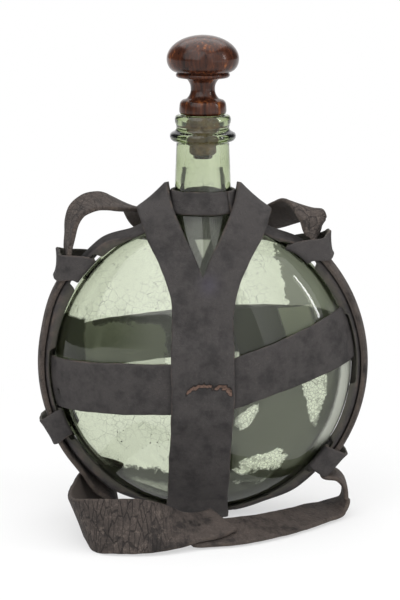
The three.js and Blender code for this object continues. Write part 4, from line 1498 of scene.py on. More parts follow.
@dataclass
class Harness:
    """The straps that hold the flask, each on its own layer."""

    leather: Material
    form: FlaskForm = FORM
    gap: float = 0.4
    base_gap: float = 0.8
    keeper_gap: float = 1.4
    body_thickness: float = 2.4
    body_width: float = 32.0
    cross_thickness: float = 2.4
    cross_width: float = 27.0
    rim_thickness: float = 2.4
    rim_width: float = 19.0
    neck_thickness: float = 2.0
    neck_height: float = 13.0
    neck_rise: float = 1.5
    neck_sag: float = -0.5
    sling_thickness: float = 2.6
    sling_width: float = 22.0
    keeper_thickness: float = 1.6
    keeper_length: float = 15.0
    lap_start: float = -150.0
    lap_end: float = 235.0
    slit_start: float = 40.0
    slit_flare: float = 1.16
    slit_half: float = 17.0
    shoulder_half: dict[Side, float] = field(default_factory=lambda: {Side.LEFT: 30.5, Side.RIGHT: 32.5})
    shoulder_ride: float = 17.0
    shoulder_arch: float = 7.0
    arch_turn: float = 80.0
    arch_span: float = 22.0
    shoulder_turns: tuple[float, float, float] = (18.0, 32.0, 66.0)
    base_zone: float = 23.0
    drift: float = 3.0
    ramp: float = 9.0
    front_heights: tuple[float, float, float] = (75.0, 78.0, 101.0)
    back_heights: tuple[float, float, float] = (86.0, 92.0, 96.0)
    cross_end_depth: float = 6.0
    rim_end: float = 19.0
    stand_off: tuple[float, float] = (5.0, 3.7)
    keeper_seams: tuple[int, ...] = (24, 30)
    under_zone: Span = (-113.0, -67.0)
    crest_zone: Span = (62.0, 118.0)
    lap_lead: float = 4.0
    cross_margin: float = 3.0
    tear_turns: Span = (-20.0, -4.0)
    half_span: float = 17.0
    strap_step: float = 0.75
    cross_rows: int = 150
    rim_rows: int = 400
    neck_rows: int = 220
    neck_turns: Span = (-40.0, 318.5)
    keeper_rows: int = 84
    edge_crowd: float = 1.2
    no_edge: float = 99.0
    stain_apex: Triple = (3.0, -36.0, 131.0)
    stain_spread: Triple = (1.0, 0.5, 0.9)
    stain_reach: float = 4.5
    hole_inset: float = 4.5
    hole_radius: float = 1.3
    rim_angles: tuple[float, ...] = (26.0, 40.0, 62.0, 80.0, 142.0, 158.0)
    rim_free: Spans = (
        ((22.0, 43.5), (57.5, 84.0), (119.5, 154.0)),
        ((22.0, 32.5), (47.0, 70.0), (96.0, 121.0), (135.0, 154.0)))
    rim_packed: Spans = (((80.5, 121.5),), ((66.5, 99.5),))
    span_ease: float = 1.5
    rolled_clearance: float = 0.5
    packed_clearance: float = 0.2
    keepers: dict[str, KeeperForm] = field(default_factory=lambda: {
        "keeper_upper_left": KeeperForm(50.0, Side.LEFT, -9.0, 7.5),
        "keeper_upper_right": KeeperForm(39.5, Side.RIGHT, -11.5, 8.5),
        "keeper_lower_left": KeeperForm(112.0, Side.LEFT, -2.5, 2.0),
        "keeper_lower_right": KeeperForm(128.0, Side.RIGHT, 1.0, 1.0),
    })

    @property
    def cross_layer(self) -> float:
        """Room that a cross strap takes under another strap."""
        return self.cross_thickness + 2.0 * self.gap

    def turn_at(self, z: float) -> float:
        """Turn round the front-to-back loop at a height on the front."""
        return math.degrees(math.asin((z - self.form.lens_z) / self.form.radius))

    def raised_by(self, turn: Array) -> Array:
        """How far the body strap is raised over other straps.

        Args:
            turn: Degrees round the front-to-back loop.

        Returns:
            The heights.
        """
        half = self.cross_width / 2.0 + self.cross_margin
        front, back = self.front_heights[1], self.back_heights[1]
        under = self.rim_thickness + 2.0 * self.base_gap - self.gap
        cross = self.cross_layer - self.gap
        zones = [
            (*self.under_zone, under),
            (self.turn_at(front - half), self.turn_at(front + half), cross),
            (*self.crest_zone, self.rim_thickness + self.gap),
            (180.0 - self.turn_at(back + half), 180.0 - self.turn_at(back - half), cross),
            (360.0 + self.lap_start - self.lap_lead, 360.0, self.body_thickness + self.gap),
        ]
        result = np.zeros_like(turn)
        for start, end, height in zones:
            rise = smoothstep(turn, start - self.ramp, start)
            fall = smoothstep(turn, end, end + self.ramp)
            result = np.maximum(result, height * (rise * (1.0 - fall)))
        return result

    def body_strap(self) -> Object:
        """The long strap over the front, base and back, slit for the neck.

        Returns:
            The strap.
        """
        form = self.form
        full, riding, fading = self.shoulder_turns
        ends = np.array([0.0, 0.15, 0.5])
        turn = np.unique(np.concatenate([
            self.lap_start + ends, np.arange(self.lap_start + 1.0, self.lap_end, 1.0),
            np.arange(*self.tear_turns, 0.3), self.lap_end - ends]))
        lift = self.gap + self.raised_by(turn)
        crest = np.abs(turn - 90.0)
        opening = np.minimum(1.0, np.maximum(0.0, 1.0 - crest / (90.0 - self.slit_start)) * self.slit_flare)
        slit = opening > 0.0
        inner_edge = np.where(slit, self.slit_half * opening, 0.12)
        arc = turn * 1.1
        drift = -self.drift * (1.0 - smoothstep(np.abs(turn + 90.0), self.base_zone, 90.0))
        arch = self.shoulder_arch * (1.0 - smoothstep(np.abs(turn - self.arch_turn), 0.0, self.arch_span))
        ride = self.shoulder_ride * (1.0 - smoothstep(crest, 0.0, riding))
        shares = edged_shares(self.half_span, self.strap_step, self.edge_crowd)
        halves = []
        for side in Side:
            edge = along_stops([(full, self.shoulder_half[side]), (fading, self.body_width / 2.0)], crest)
            edge = edge + 0.35 * ripple(arc, 46.0, 1.3 + side.value)
            start = self.loop_guide(side.value * inner_edge + drift, turn, ride)
            end = self.loop_guide(side.value * edge + drift, turn, 0.0 * ride)
            inside = form.settle(start, lift)
            outside = form.settle(end, lift + arch)
            chord = inside[:, None] + (outside - inside)[:, None] * shares[None, :, None]
            layer = np.broadcast_to(lift[:, None], chord.shape[:2])
            low = form.distance(chord) < layer
            half = np.where(low[..., None], form.settle(chord, layer), chord)
            halves.append(half[:, ::-1] if side is Side.LEFT else half)
        grid = np.concatenate(halves, axis=1)
        count = len(shares)
        cells = np.ones((len(turn) - 1, 2 * count - 1), bool)
        cells[:, count - 1] = ~(slit[:-1] | slit[1:])
        inward = np.where(slit[:, None], self._from_inner(grid, count), self.no_edge)
        grid[..., 2] = np.maximum(grid[..., 2], 0.0)
        tear, lip = self._tear(grid)
        away = np.linalg.norm((grid - self.stain_apex) * self.stain_spread, axis=-1) / self.stain_reach
        sheet = Sheet(
            "body_strap_leather", grid, self.body_thickness, form.normal(grid), present=cells, slit=inward,
            raised=lip, numbers={"tear": tear, "stain": 0.5 * np.exp(-away ** 2)})
        made = sheet.build(self.leather)
        keep_above(made, 0.0)
        return made

    def loop_guide(self, x: Array, turn: Array, ride: Array) -> Array:
        """Points near the front-to-back loop.

        Args:
            x: Places to the right.
            turn: Degrees from the front.
            ride: Rise up the neck.

        Returns:
            The points.
        """
        form = self.form
        turned = np.radians(turn)
        z = form.lens_z + form.radius * np.sin(turned) + ride
        return np.stack([x, -form.half_depth * np.cos(turned), z], axis=-1)

    @staticmethod
    def _from_inner(grid: Array, count: int) -> Array:
        """Distance of each point from the inner edge of its half of the strap.

        Args:
            grid: The points of both halves.
            count: Columns in each half.

        Returns:
            The distances.
        """
        left = np.linalg.norm(grid[:, :count] - grid[:, count - 1:count], axis=-1)
        right = np.linalg.norm(grid[:, count:] - grid[:, count:count + 1], axis=-1)
        return np.concatenate([left, right], axis=1)

    @staticmethod
    def _tear(grid: Array) -> tuple[Array, Array]:
        """The crescent tear in the front of the body strap.

        Args:
            grid: Points of the strap.

        Returns:
            How torn each point is, and how far its face is raised.
        """
        x, y, z = (grid[..., n] for n in range(3))
        line = along_stops(TEAR_LINE, x) + 0.25 * np.sin(x * 2.3)
        front = (y < 0.0) * smoothstep(x, -9.0, -8.0) * (1.0 - smoothstep(x, 14.6, 15.4))
        deep = 1.9 + 1.8 * smoothstep(x, 9.5, 13.5) - 0.9 * np.exp(-((x - 5.6) / 1.1) ** 2)
        off = line - z
        torn = front * smoothstep(off, -0.6, 0.5) * (1.0 - smoothstep(off, deep - 0.4, deep + 0.6))
        lip = front * (0.5 * np.exp(-((off + 1.2) / 0.9) ** 2) - 0.7 * np.exp(-(off / 0.7) ** 2))
        return torn, lip

    def cross_strap(self, front: bool) -> Object:
        """A strap across the front or the back, its ends tucked under the rim band.

        Args:
            front: True for the front strap.

        Returns:
            The strap.
        """
        form = self.form
        left, middle, right = self.front_heights if front else self.back_heights
        reach = form.radius * math.sqrt(1.0 - (self.cross_end_depth / form.half_depth) ** 2)
        bend = self.body_width / 2.0
        share = np.sin(np.radians(np.linspace(-90.0, 90.0, self.cross_rows)))
        line = np.interp(share * reach, [-reach, -bend, 0.0, bend, reach],
                         [left, middle - 1.0, middle, middle + 2.0, right])
        offset = (edged_shares(self.cross_width, 1.3, 1.2) - 0.5) * self.cross_width
        wave = 1.0 + 0.022 * ripple(share * reach, 52.0, 0.4 if front else 2.2)
        z = line[:, None] + offset[None, :] * wave[:, None]
        limit = np.sqrt(np.maximum(reach ** 2 - (z - form.lens_z) ** 2, 0.0))
        x = share[:, None] * limit
        edge = (x ** 2 + (z - form.lens_z) ** 2) / form.radius ** 2
        y = (-1.0 if front else 1.0) * form.half_depth * np.sqrt(np.maximum(1.0 - edge, 0.0))
        grid = form.settle(np.stack([x, y, z], axis=-1), self.gap)
        name = "cross_strap_front_leather" if front else "cross_strap_back_leather"
        cells = np.ones((grid.shape[0] - 1, grid.shape[1] - 1), bool)
        if front:
            hole = np.array([self.hole_inset - reach, -2.0 * self.cross_end_depth, left - self.hole_inset])
            centres = (grid[:-1, :-1] + grid[1:, 1:]) / 2.0
            away = np.linalg.norm(centres - form.settle(hole[None], self.gap), axis=-1)
            cells &= away > self.hole_radius
        return Sheet(name, grid, self.cross_thickness, form.normal(grid), present=cells).build(self.leather)

    def rim_lift(self, angle: Array, side: Array) -> Array:
        """Height of the rim band off the glass.

        Args:
            angle: Degrees down from the top.
            side: -1 for the left and 1 for the right.

        Returns:
            The heights.
        """
        over_cross = self.cross_layer + self.gap
        left, right = (
            along_stops(list(zip(self.rim_angles, (
                self.gap, stand, stand, over_cross, self.cross_layer, self.base_gap))), angle)
            for stand in self.stand_off)
        return np.where(side < 0, left, right)

    def within(self, spans: Spans, angle: Array, side: Array) -> Array:
        """Eases to 1 inside spans of the rim.

        Args:
            spans: First and last degrees of each span, on the left and on the right.
            angle: Degrees down from the top.
            side: -1 for the left and 1 for the right.

        Returns:
            The shares.
        """
        ease = self.span_ease
        left, right = (
            along_stops([(at, on) for first, last in row for at, on in (
                (first, 0.0), (first + ease, 1.0), (last - ease, 1.0), (last, 0.0))], angle)
            for row in spans)
        return np.where(side < 0, left, right)

    def rim_band(self) -> Object:
        """The rolled band round the rim, from one shoulder under the base to the other.

        Returns:
            The band.
        """
        station = np.linspace(self.rim_end, 360.0 - self.rim_end, self.rim_rows)
        side = np.where(station < 180.0, -1.0, 1.0)
        angle = np.minimum(station, 360.0 - station)
        across = (0.5 - edged_shares(self.rim_width, 1.2, 2.4)) * self.rim_width
        lift = self.rim_lift(angle, side)
        shape = (len(station), len(across))
        angles, lifts, sides = (np.broadcast_to(part[:, None], shape) for part in (angle, lift, side))
        guide = self.form.rim_guide(angles, np.broadcast_to(across[None], shape), lifts, sides)
        grid = self.form.settle(guide, lifts)
        rolled = self.within(self.rim_free, angle, side) * np.maximum(lift - self.rolled_clearance, 0.0)
        middle = smoothstep(across, -4.0, -1.0) * (1.0 - smoothstep(across, 1.0, 4.0))
        packed = self.within(self.rim_packed, angle, side) * np.maximum(lift - self.packed_clearance, 0.0)
        lowered = np.maximum(
            rolled[:, None] * smoothstep(-across, 2.5, 7.0)[None], packed[:, None] * middle[None])
        sheet = Sheet(
            "rim_band_leather", grid, self.rim_thickness, self.form.normal(grid), rounding=2.4,
            lowered=lowered)
        return sheet.build(self.leather)

    def neck_band(self) -> Object:
        """The strip round the root of the neck.

        Returns:
            The strip.
        """
        form = self.form
        turn = np.radians(np.linspace(*self.neck_turns, self.neck_rows))
        shares = edged_shares(self.neck_height, 0.9, 1.0)
        sag = self.neck_sag * np.sin(turn) ** 2
        foot = form.lens_top + self.neck_rise - sag + 0.25 * ripple(turn * 20.0, 22.0, 0.6)
        z = foot[:, None] + shares[None, :] * self.neck_height
        radius = form.neck_radius(z) + self.gap
        guide = np.stack([radius * np.cos(turn)[:, None], radius * np.sin(turn)[:, None], z], axis=-1)
        grid = form.settle(guide, self.gap)
        return Sheet("neck_band_leather", grid, self.neck_thickness, form.normal(grid)).build(self.leather)

    def keeper(self, node: str) -> Object:
        """A loop round the rim band and the sling, drawn open by the sling.

        Args:
            node: The CAD node that it stands for.

        Returns:
            The loop.
        """
        grid = self.keeper_grid(node)
        heart = grid.mean(axis=0, keepdims=True)
        sheet = Sheet(
            f"{node}_leather", grid, self.keeper_thickness, grid - heart, rounding=0.8, ends_cut=False)
        return sheet.build(self.leather)

    def keeper_grid(self, node: str) -> Array:
        """Inner face of a keeper.

        Args:
            node: The CAD node that it stands for.

        Returns:
            Points, round the loop and along the sling.
        """
        form = self.form
        keeper = self.keepers[node]
        wide = self.sling_width / 2.0 + self.keeper_gap
        low = -self.gap
        high = self.rim_thickness + self.gap + self.sling_thickness + self.keeper_gap
        half = [
            (0.0, low), (wide * 0.6, low), (wide - 0.6, low + 0.2), (wide, low + 1.6), (wide, high - 1.6),
            (wide - 0.8, high - 0.2), (wide * 0.6, high), (0.0, high)]
        mirrored = [(-x, z) for x, z in half[-2::-1]]
        loop = spline(np.array(half + mirrored), self.keeper_rows)
        shares = edged_shares(self.keeper_length, 1.0, 1.0)
        station = keeper.angle + (shares - 0.5) * math.degrees(self.keeper_length / form.radius)
        over = smoothstep(loop[:, 1], low + 0.5, high)
        ruffle = 0.75 + 0.25 * ripple(loop[:, 0], 26.0, keeper.angle)
        curl = np.abs(2.0 * shares - 1.0) ** 3 * 0.8 + keeper.slack * (1.0 - shares) ** 1.4
        flare = over[:, None] * ruffle[:, None] * curl[None, :]
        shape = (len(loop), len(shares))
        lean = math.degrees(keeper.skew / form.radius) * (1.0 - 0.45 * shares[None, :])
        stations = station[None] - lean * over[:, None]
        sides = np.full(shape, float(keeper.side.value))
        lift = self.rim_lift(stations, sides) + loop[:, 1][:, None] + flare
        guide = form.rim_guide(stations, np.broadcast_to(loop[:, :1], shape), lift, sides)
        return form.settle(guide, lift)

    def build(self) -> list[Object]:
        """Makes every strap of the harness.

        Returns:
            The straps.
        """
        made = {
            "body_strap": self.body_strap(),
            "cross_strap_front": self.cross_strap(True),
            "cross_strap_back": self.cross_strap(False),
            "rim_band": self.rim_band(),
            "neck_band": self.neck_band(),
        }
        made.update({node: self.keeper(node) for node in self.keepers})
        for node, piece in made.items():
            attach(piece, Body.FLASK.value)
            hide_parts(node)
        return list(made.values())


@dataclass
class Stitching:
    """Waxed thread through the keepers and through the lap behind the flask."""

    harness: Harness
    length: float = 2.6
    thickness: float = 0.9
    pitch: float = 3.6
    evenness: Span = (0.88, 1.1)
    lap_turns: Span = (213.5, 231.0)
    lap_half: float = 11.0
    lap_step: float = 1.1
    seed: int = 7

    def rows(self) -> list[tuple[Array, Array]]:
        """Lines of thread on the outer faces.

        Returns:
            Points along each line, and their outward directions.
        """
        harness, form = self.harness, self.harness.form
        rows = []
        for turn in self.lap_turns:
            across = np.arange(-self.lap_half, self.lap_half + 0.1, self.lap_step)
            turns = np.full(len(across), turn)
            lift = harness.gap + harness.raised_by(turns) + harness.body_thickness
            points = form.settle(harness.loop_guide(across, turns, 0.0 * turns), lift)
            rows.append((points, form.normal(points)))
        for node in harness.keepers:
            grid = harness.keeper_grid(node)
            outward = unit(grid - grid.mean(axis=0, keepdims=True))
            for row in harness.keeper_seams:
                place = grid[row] + outward[row] * harness.keeper_thickness
                rows.append((place[2:-2], outward[row][2:-2]))
        return rows

    def stations(self) -> tuple[Array, Array, Array]:
        """Places of the single stitches.

        Returns:
            Points, directions along the thread and outward directions.
        """
        places, headings, outwards = [], [], []
        for points, out in self.rows():
            travel = travelled(points)
            count = max(2, int(travel[-1] / self.pitch))
            at = (np.arange(count) + 0.5) / count * travel[-1]
            tangent = np.gradient(points, travel, axis=0)
            for found, values in ((places, points), (outwards, out), (headings, tangent)):
                found.append(np.stack([np.interp(at, travel, part) for part in values.T], axis=-1))
        return np.concatenate(places), unit(np.concatenate(headings)), unit(np.concatenate(outwards))

    def build(self, thread: Material) -> Object:
        """Sews the stitches with Geometry Nodes.

        Args:
            thread: Their finish.

        Returns:
            The stitches.
        """
        growth = Growth("harness_stitches")
        points = Signal(growth, growth.entry.outputs["Geometry"])
        length, thick = growth.input("Length"), growth.input("Thickness")
        finish, seed = growth.input("Thread", "Material"), growth.input("Seed", "Int")
        bead = growth.out("GeometryNodeMeshUVSphere", "Mesh", {"Segments": 10, "Rings": 6, "Radius": 0.5})
        size = growth.out("ShaderNodeCombineXYZ", 0, {"X": length, "Y": thick, "Z": thick * 0.8})
        bead = growth.out("GeometryNodeTransform", 0, {"Geometry": bead, "Scale": size})
        align = "FunctionNodeAlignRotationToVector"
        heading, outward = (growth.stored(name, "FLOAT_VECTOR") for name in ("heading", "outward"))
        turned = growth.out(align, 0, {"Vector": heading}, axis="X")
        turned = growth.out(align, 0, {"Rotation": turned, "Vector": outward}, axis="Z", pivot_axis="X")
        even = growth.chance(*self.evenness, seed)
        sewn = growth.out("GeometryNodeInstanceOnPoints", 0, {
            "Points": points, "Instance": bead, "Rotation": turned, "Scale": even})
        growth.finish(sewn, finish)
        places, headings, outwards = self.stations()
        carrier = make_object("stitch_places", places, [], thread)
        keep_vectors(carrier, "heading", headings)
        keep_vectors(carrier, "outward", outwards)
        made = growth.grow(carrier, {
            "Length": self.length * MM, "Thickness": self.thickness * MM, "Thread": thread,
            "Seed": self.seed})
        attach(made, Body.FLASK.value)
        return made


# Sling

BACKWARD: Triple = (0.0, 1.0, 0.0)


@dataclass(frozen=True)
class Station:
    """A place along a free strap: a point, the direction across and the share of the width."""

    at: Triple
    across: Triple
    broad: float = 1.0


# The carrying loop, in shares of the lens's half sizes from its middle

CARRY_LOOP = [Station(*row) for row in (
    ((-0.885, 0.0, 0.765), (-0.15, 0.99, 0.0)),
    ((-0.872, 0.0, 0.865), (-0.22, 0.97, 0.0)),
    ((-0.856, 0.01, 0.96), (-0.3, 0.95, 0.05)),
    ((-0.818, 0.045, 1.03), (-0.3, 0.93, 0.18)),
    ((-0.748, 0.1, 1.07), (-0.2, 0.93, 0.25)),
    ((-0.67, 0.18, 1.075), (-0.1, 0.95, 0.22)),
    ((-0.585, 0.29, 1.052), (0.0, 0.98, 0.05)),
    ((-0.505, 0.42, 1.02), (0.1, 0.97, -0.18)),
    ((-0.364, 0.59, 0.945), (0.05, 0.55, -0.84)),
    ((-0.182, 0.68, 0.907), (0.0, 0.5, -0.87)),
    ((0.0, 0.718, 0.901), (0.0, 0.5, -0.87)),
    ((0.182, 0.68, 0.907), (0.0, 0.5, -0.87)),
    ((0.35, 0.64, 0.92), (0.15, 0.62, -0.77)),
    ((0.47, 0.57, 0.935), (0.5, 0.65, -0.55)),
    ((0.575, 0.4, 0.99), (0.85, 0.3, -0.42)),
    ((0.64, 0.2, 1.03), (0.92, 0.15, -0.35)),
    ((0.69, 0.02, 1.03), (0.9, 0.35, -0.3)),
    ((0.725, -0.06, 0.975), (0.7, 0.7, -0.25)),
    ((0.735, -0.03, 0.9), (0.25, 0.95, -0.1)),
)]

# Where the left half of the foot loop folds back on itself under the rim, in millimetres

FOOT_FOLD = [Station(*row) for row in (
    ((-59.0, 2.0, 15.8), (0.0, 0.97, 0.25)),
    ((-51.5, 8.0, 12.6), (0.1, 0.8, 0.6)),
    ((-49.5, 15.0, 12.4), (0.2, 0.35, 0.92)),
    ((-55.0, 17.5, 12.0), (0.0, 0.0, 1.0)),
    ((-60.0, 11.5, 11.7), (-0.12, 0.0, 0.99)),
    ((-63.0, -2.0, 11.5), (-0.22, 0.0, 0.97)),
    ((-64.0, -18.0, 11.5), (-0.3, 0.03, 0.95)),
)]

# The two halves of the foot loop, in shares of its half width, its reach and the strap's width

FOOT_LEFT = [Station(*row) for row in (
    ((0.95, 0.53, 0.535), (-0.34, 0.06, 0.94), 1.05),
    ((0.922, 0.76, 0.555), (-0.38, 0.12, 0.92), 1.12),
    ((0.86, 0.94, 0.6), (-0.35, 0.2, 0.91), 1.24),
    ((0.745, 1.04, 0.63), (-0.2, 0.22, 0.95), 1.28),
    ((0.53, 1.055, 0.63), (-0.05, 0.3, 0.95), 1.28),
    ((0.294, 0.99, 0.52), (0.0, 0.62, 0.76), 1.14),
    ((0.1, 0.877, 0.39), (-0.08, 0.91, 0.4)),
    ((-0.043, 0.804, 0.37), (-0.14, 0.92, 0.34)),
    ((-11.0 / 68.0, 0.713, 0.423), (-0.27, 0.9, 0.33)),
)]
FOOT_RIGHT = [Station(*row) for row in (
    ((0.0, 0.839, 0.195), (-0.12, 0.93, 0.35)),
    ((0.127, 0.801, 0.191), (-0.2, 0.92, 0.34)),
    ((0.251, 0.745, 0.186), (-0.3, 0.9, 0.32)),
    ((0.427, 0.613, 0.164), (-0.42, 0.87, 0.26)),
    ((0.598, 0.434, 0.136), (-0.5, 0.85, 0.2)),
    ((0.765, 0.238, 0.123), (-0.55, 0.82, 0.14)),
    ((0.892, 0.077, 0.114), (-0.35, 0.93, 0.06)),
    ((0.988, 0.014, 0.318), BACKWARD),
    ((1.0, 0.0, 0.568), BACKWARD),
    ((0.985, 0.0, 0.8), BACKWARD),
    ((0.93, 0.0, 1.0), BACKWARD),
)]

# How cracked each loop is, by share of its length

CARRY_CRACKS = [
    (0.0, 0.5), (0.06, 0.85), (0.2, 0.8), (0.3, 0.4), (0.7, 0.4), (0.8, 0.95), (0.92, 0.9), (1.0, 0.3)]
FOOT_CRACKS = {
    Side.LEFT: [(0.0, 0.3), (0.44, 0.4), (0.52, 1.0), (0.8, 1.0), (0.88, 0.35), (1.0, 0.2)],
    Side.RIGHT: [(0.0, 0.1), (0.2, 0.3), (0.6, 0.45), (1.0, 0.3)],
}


@dataclass
class Sling:
    """The carrying strap through the keepers, with its two loops."""

    harness: Harness
    leather: Material
    foot_left_x: float = -68.0
    foot_right_x: float = 75.9
    foot_reach: float = 71.5
    foot_clearance: float = 0.1
    tip_width: float = 0.2
    curl: float = 0.3
    uneven: float = 0.018
    uneven_wave: float = 37.0
    curl_wave: float = 61.0
    # The splice holes are painted as dark dots of shade, not cut through.
    splice_holes: tuple[Span, ...] = ((-7.0, 2.5), (-2.5, 0.0))
    hole_reach: float = 1.6
    hole_shade: float = 0.33
    run_cracks: float = 0.3
    rim_reach: float = 90.0
    carry_steps: int = 220
    foot_steps: int = 260
    carry_entry: float = 42.5
    foot_left_turns: tuple[float, ...] = (112.0, 118.0, 125.0, 131.0)
    foot_right_turns: tuple[float, ...] = (132.0, 128.0)
    run_feet: dict[Side, float] = field(default_factory=lambda: {Side.LEFT: 112.0, Side.RIGHT: 128.0})
    seams: dict[Side, float] = field(default_factory=lambda: {Side.LEFT: 52.6, Side.RIGHT: 46.0})

    def rim_rows(self, angles: Array, across: Array, side: Side) -> Array:
        """Rows of the sling where it lies on the rim band.

        Args:
            angles: Degrees down from the top.
            across: Places across the strap.
            side: Which side.

        Returns:
            The inner face.
        """
        shape = (len(angles), len(across))
        stations = np.broadcast_to(np.asarray(angles, float)[:, None], shape)
        sides = np.full(shape, float(side.value))
        lift = self.harness.rim_lift(stations, sides) + self.harness.rim_thickness + self.harness.gap
        guide = self.harness.form.rim_guide(stations, np.broadcast_to(across[None], shape), lift, sides)
        return self.harness.form.settle(guide, lift)

    def run(self, side: Side) -> Object:
        """A side run, from inside the upper keeper down the rim to its foot.

        Args:
            side: Which side.

        Returns:
            The run.
        """
        length = math.radians(self.run_feet[side] - self.seams[side]) * self.rim_reach
        along = edged_shares(length, 1.6, 1.2)
        angles = self.seams[side] + along * (self.run_feet[side] - self.seams[side])
        width = self.harness.sling_width
        across = (edged_shares(width, 1.3, 1.2) - 0.5) * width
        grid = self.rim_rows(angles, across, side)
        name = f"sling_{side.name.lower()}_run_leather"
        numbers = {"crack": np.full(grid.shape[:2], self.run_cracks)}
        facing = self.harness.form.normal(grid)
        made = Sheet(name, grid, self.harness.sling_thickness, facing, numbers=numbers).build(self.leather)
        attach(made, Body.FLASK.value)
        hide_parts(f"sling_{side.name.lower()}_run")
        return made

    def free_strap(
        self, name: str, stations: list[Station], steps: int, phase: float, cracks: list[Span],
        punched: tuple[Span, ...] = (),
    ) -> Object:
        """A free strap through stations.

        Args:
            name: The piece's name.
            stations: Stations on the middle of the inner face.
            steps: Steps along it.
            phase: Shift of its unevenness.
            cracks: Stops of how cracked it is, by share of its length.
            punched: Where it is punched, as X and place across; the holes are painted as dark dots of
                shade.

        Returns:
            The strap.
        """
        middle = spline(np.array([row.at for row in stations]), steps)
        lateral = spline(np.array([row.across for row in stations]), steps)
        share = spline(np.array([[row.broad] for row in stations]), steps)[:, 0]
        ahead = unit(np.gradient(middle, axis=0))
        lateral = unit(lateral - ahead * np.sum(lateral * ahead, axis=-1, keepdims=True))
        travel = travelled(middle)
        wave = 1.0 + self.uneven * ripple(travel, self.uneven_wave, phase)
        width = self.harness.sling_width
        across = (edged_shares(width, 0.9, 1.2) - 0.5) * width
        reach = across[None, :] * (share * wave)[:, None]
        out = np.cross(ahead, lateral)
        bend = 0.5 + 0.5 * ripple(travel, self.curl_wave, phase)[:, None]
        curl = self.curl * (np.abs(across) / (width / 2.0)) ** 2 * bend
        grid = middle[:, None] + lateral[:, None] * reach[..., None] + out[:, None] * curl[..., None]
        facing = np.broadcast_to(out[:, None], grid.shape)
        cracked = np.broadcast_to(along_stops(cracks, travel / travel[-1])[:, None], grid.shape[:2])
        x = grid[..., 0]
        side = np.broadcast_to(across[None], x.shape)
        # Painted shade: dark dots where the splice holes are punched.
        gaps = [np.hypot(x - at, side - up) for at, up in punched] or [np.full(x.shape, np.inf)]
        tear = self.hole_shade * np.clip(self.hole_reach - np.minimum.reduce(gaps), 0.0, 1.0)
        numbers = {"crack": cracked, "tear": tear}
        sheet = Sheet(
            name, grid, self.harness.sling_thickness, facing, numbers=numbers, through=("crack", "tear"))
        return sheet.build(self.leather)

    def carry_stations(self) -> list[Station]:
        """Stations of the carrying loop, from one upper keeper round behind the neck to the other.

        Returns:
            The stations.
        """
        form = self.harness.form
        heart = np.array([0.0, 0.0, form.lens_z])
        loop = [Station(tuple(heart + form.semi_axes * row.at), row.across) for row in CARRY_LOOP]
        left, right = self.seams[Side.LEFT], self.seams[Side.RIGHT]
        first = self.rim_rows(np.array([left]), np.zeros(1), Side.LEFT)[:, 0]
        last = self.rim_rows(np.array([self.carry_entry, right]), np.zeros(1), Side.RIGHT)[:, 0]
        first, last = ([Station(tuple(point), BACKWARD) for point in end] for end in (first, last))
        return [*first, *loop, *last]

    def under_keeper(self, angles: tuple[float, ...], side: Side) -> list[Station]:
        """Stations where the foot loop lies over a run, inside a lower keeper.

        Args:
            angles: Degrees down from the top.
            side: Which side.

        Returns:
            The stations.
        """
        turned = np.radians(angles)
        outward = np.stack([side.value * np.sin(turned), 0.0 * turned, np.cos(turned)], axis=-1)
        rim = self.rim_rows(np.array(angles), np.zeros(1), side)[:, 0]
        rim = rim + outward * self.harness.sling_thickness
        return [Station(tuple(point), BACKWARD) for point in rim]

    def foot_stations(self, side: Side) -> list[Station]:
        """Stations of one half of the foot loop.

        Args:
            side: Which half.

        Returns:
            The stations.
        """
        reach, wide = self.foot_reach, self.harness.sling_width
        x, rows = self.foot_right_x + self.harness.sling_thickness, FOOT_RIGHT
        if side is Side.LEFT:
            x, rows = self.foot_left_x, FOOT_LEFT
        size = np.array([x, -reach, wide])
        half = [Station(tuple(size * row.at), row.across, row.broad) for row in rows]
        if side is Side.LEFT:
            return [*self.under_keeper(self.foot_left_turns, side), *FOOT_FOLD, *half]
        tip = [
            Station((-10.0, -0.874 * reach, self.tip_width * wide), (-0.05, 0.93, 0.36), 0.45),
            Station((-7.0, -0.861 * reach, self.tip_width * wide), (-0.06, 0.93, 0.36), 0.9)]
        return [*tip, *half, *self.under_keeper(self.foot_right_turns, side)]

    def build(self) -> list[Object]:
        """Makes the runs and the loops of the sling.

        Returns:
            The pieces.
        """
        runs = [self.run(side) for side in Side]
        carry = self.free_strap(
            "sling_carry_loop_leather", self.carry_stations(), self.carry_steps, 0.7, CARRY_CRACKS)
        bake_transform(carry)
        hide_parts("sling_carry_loop")
        feet = []
        for side in Side:
            name = f"sling_foot_{side.name.lower()}"
            punched = self.splice_holes if side is Side.LEFT else ()
            foot = self.free_strap(
                f"{name}_leather", self.foot_stations(side), self.foot_steps, 2.0 + side.value,
                FOOT_CRACKS[side], punched)
            keep_above(foot, self.foot_clearance)
            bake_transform(foot)
            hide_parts(name)
            feet.append(foot)
        return [*runs, carry, *feet]


# Studio


@dataclass(frozen=True)
class Lamp:
    """A soft flat lamp: its place and size in metres, and its power in watts."""

    name: str
    at: Triple
    size: Span
    power: float


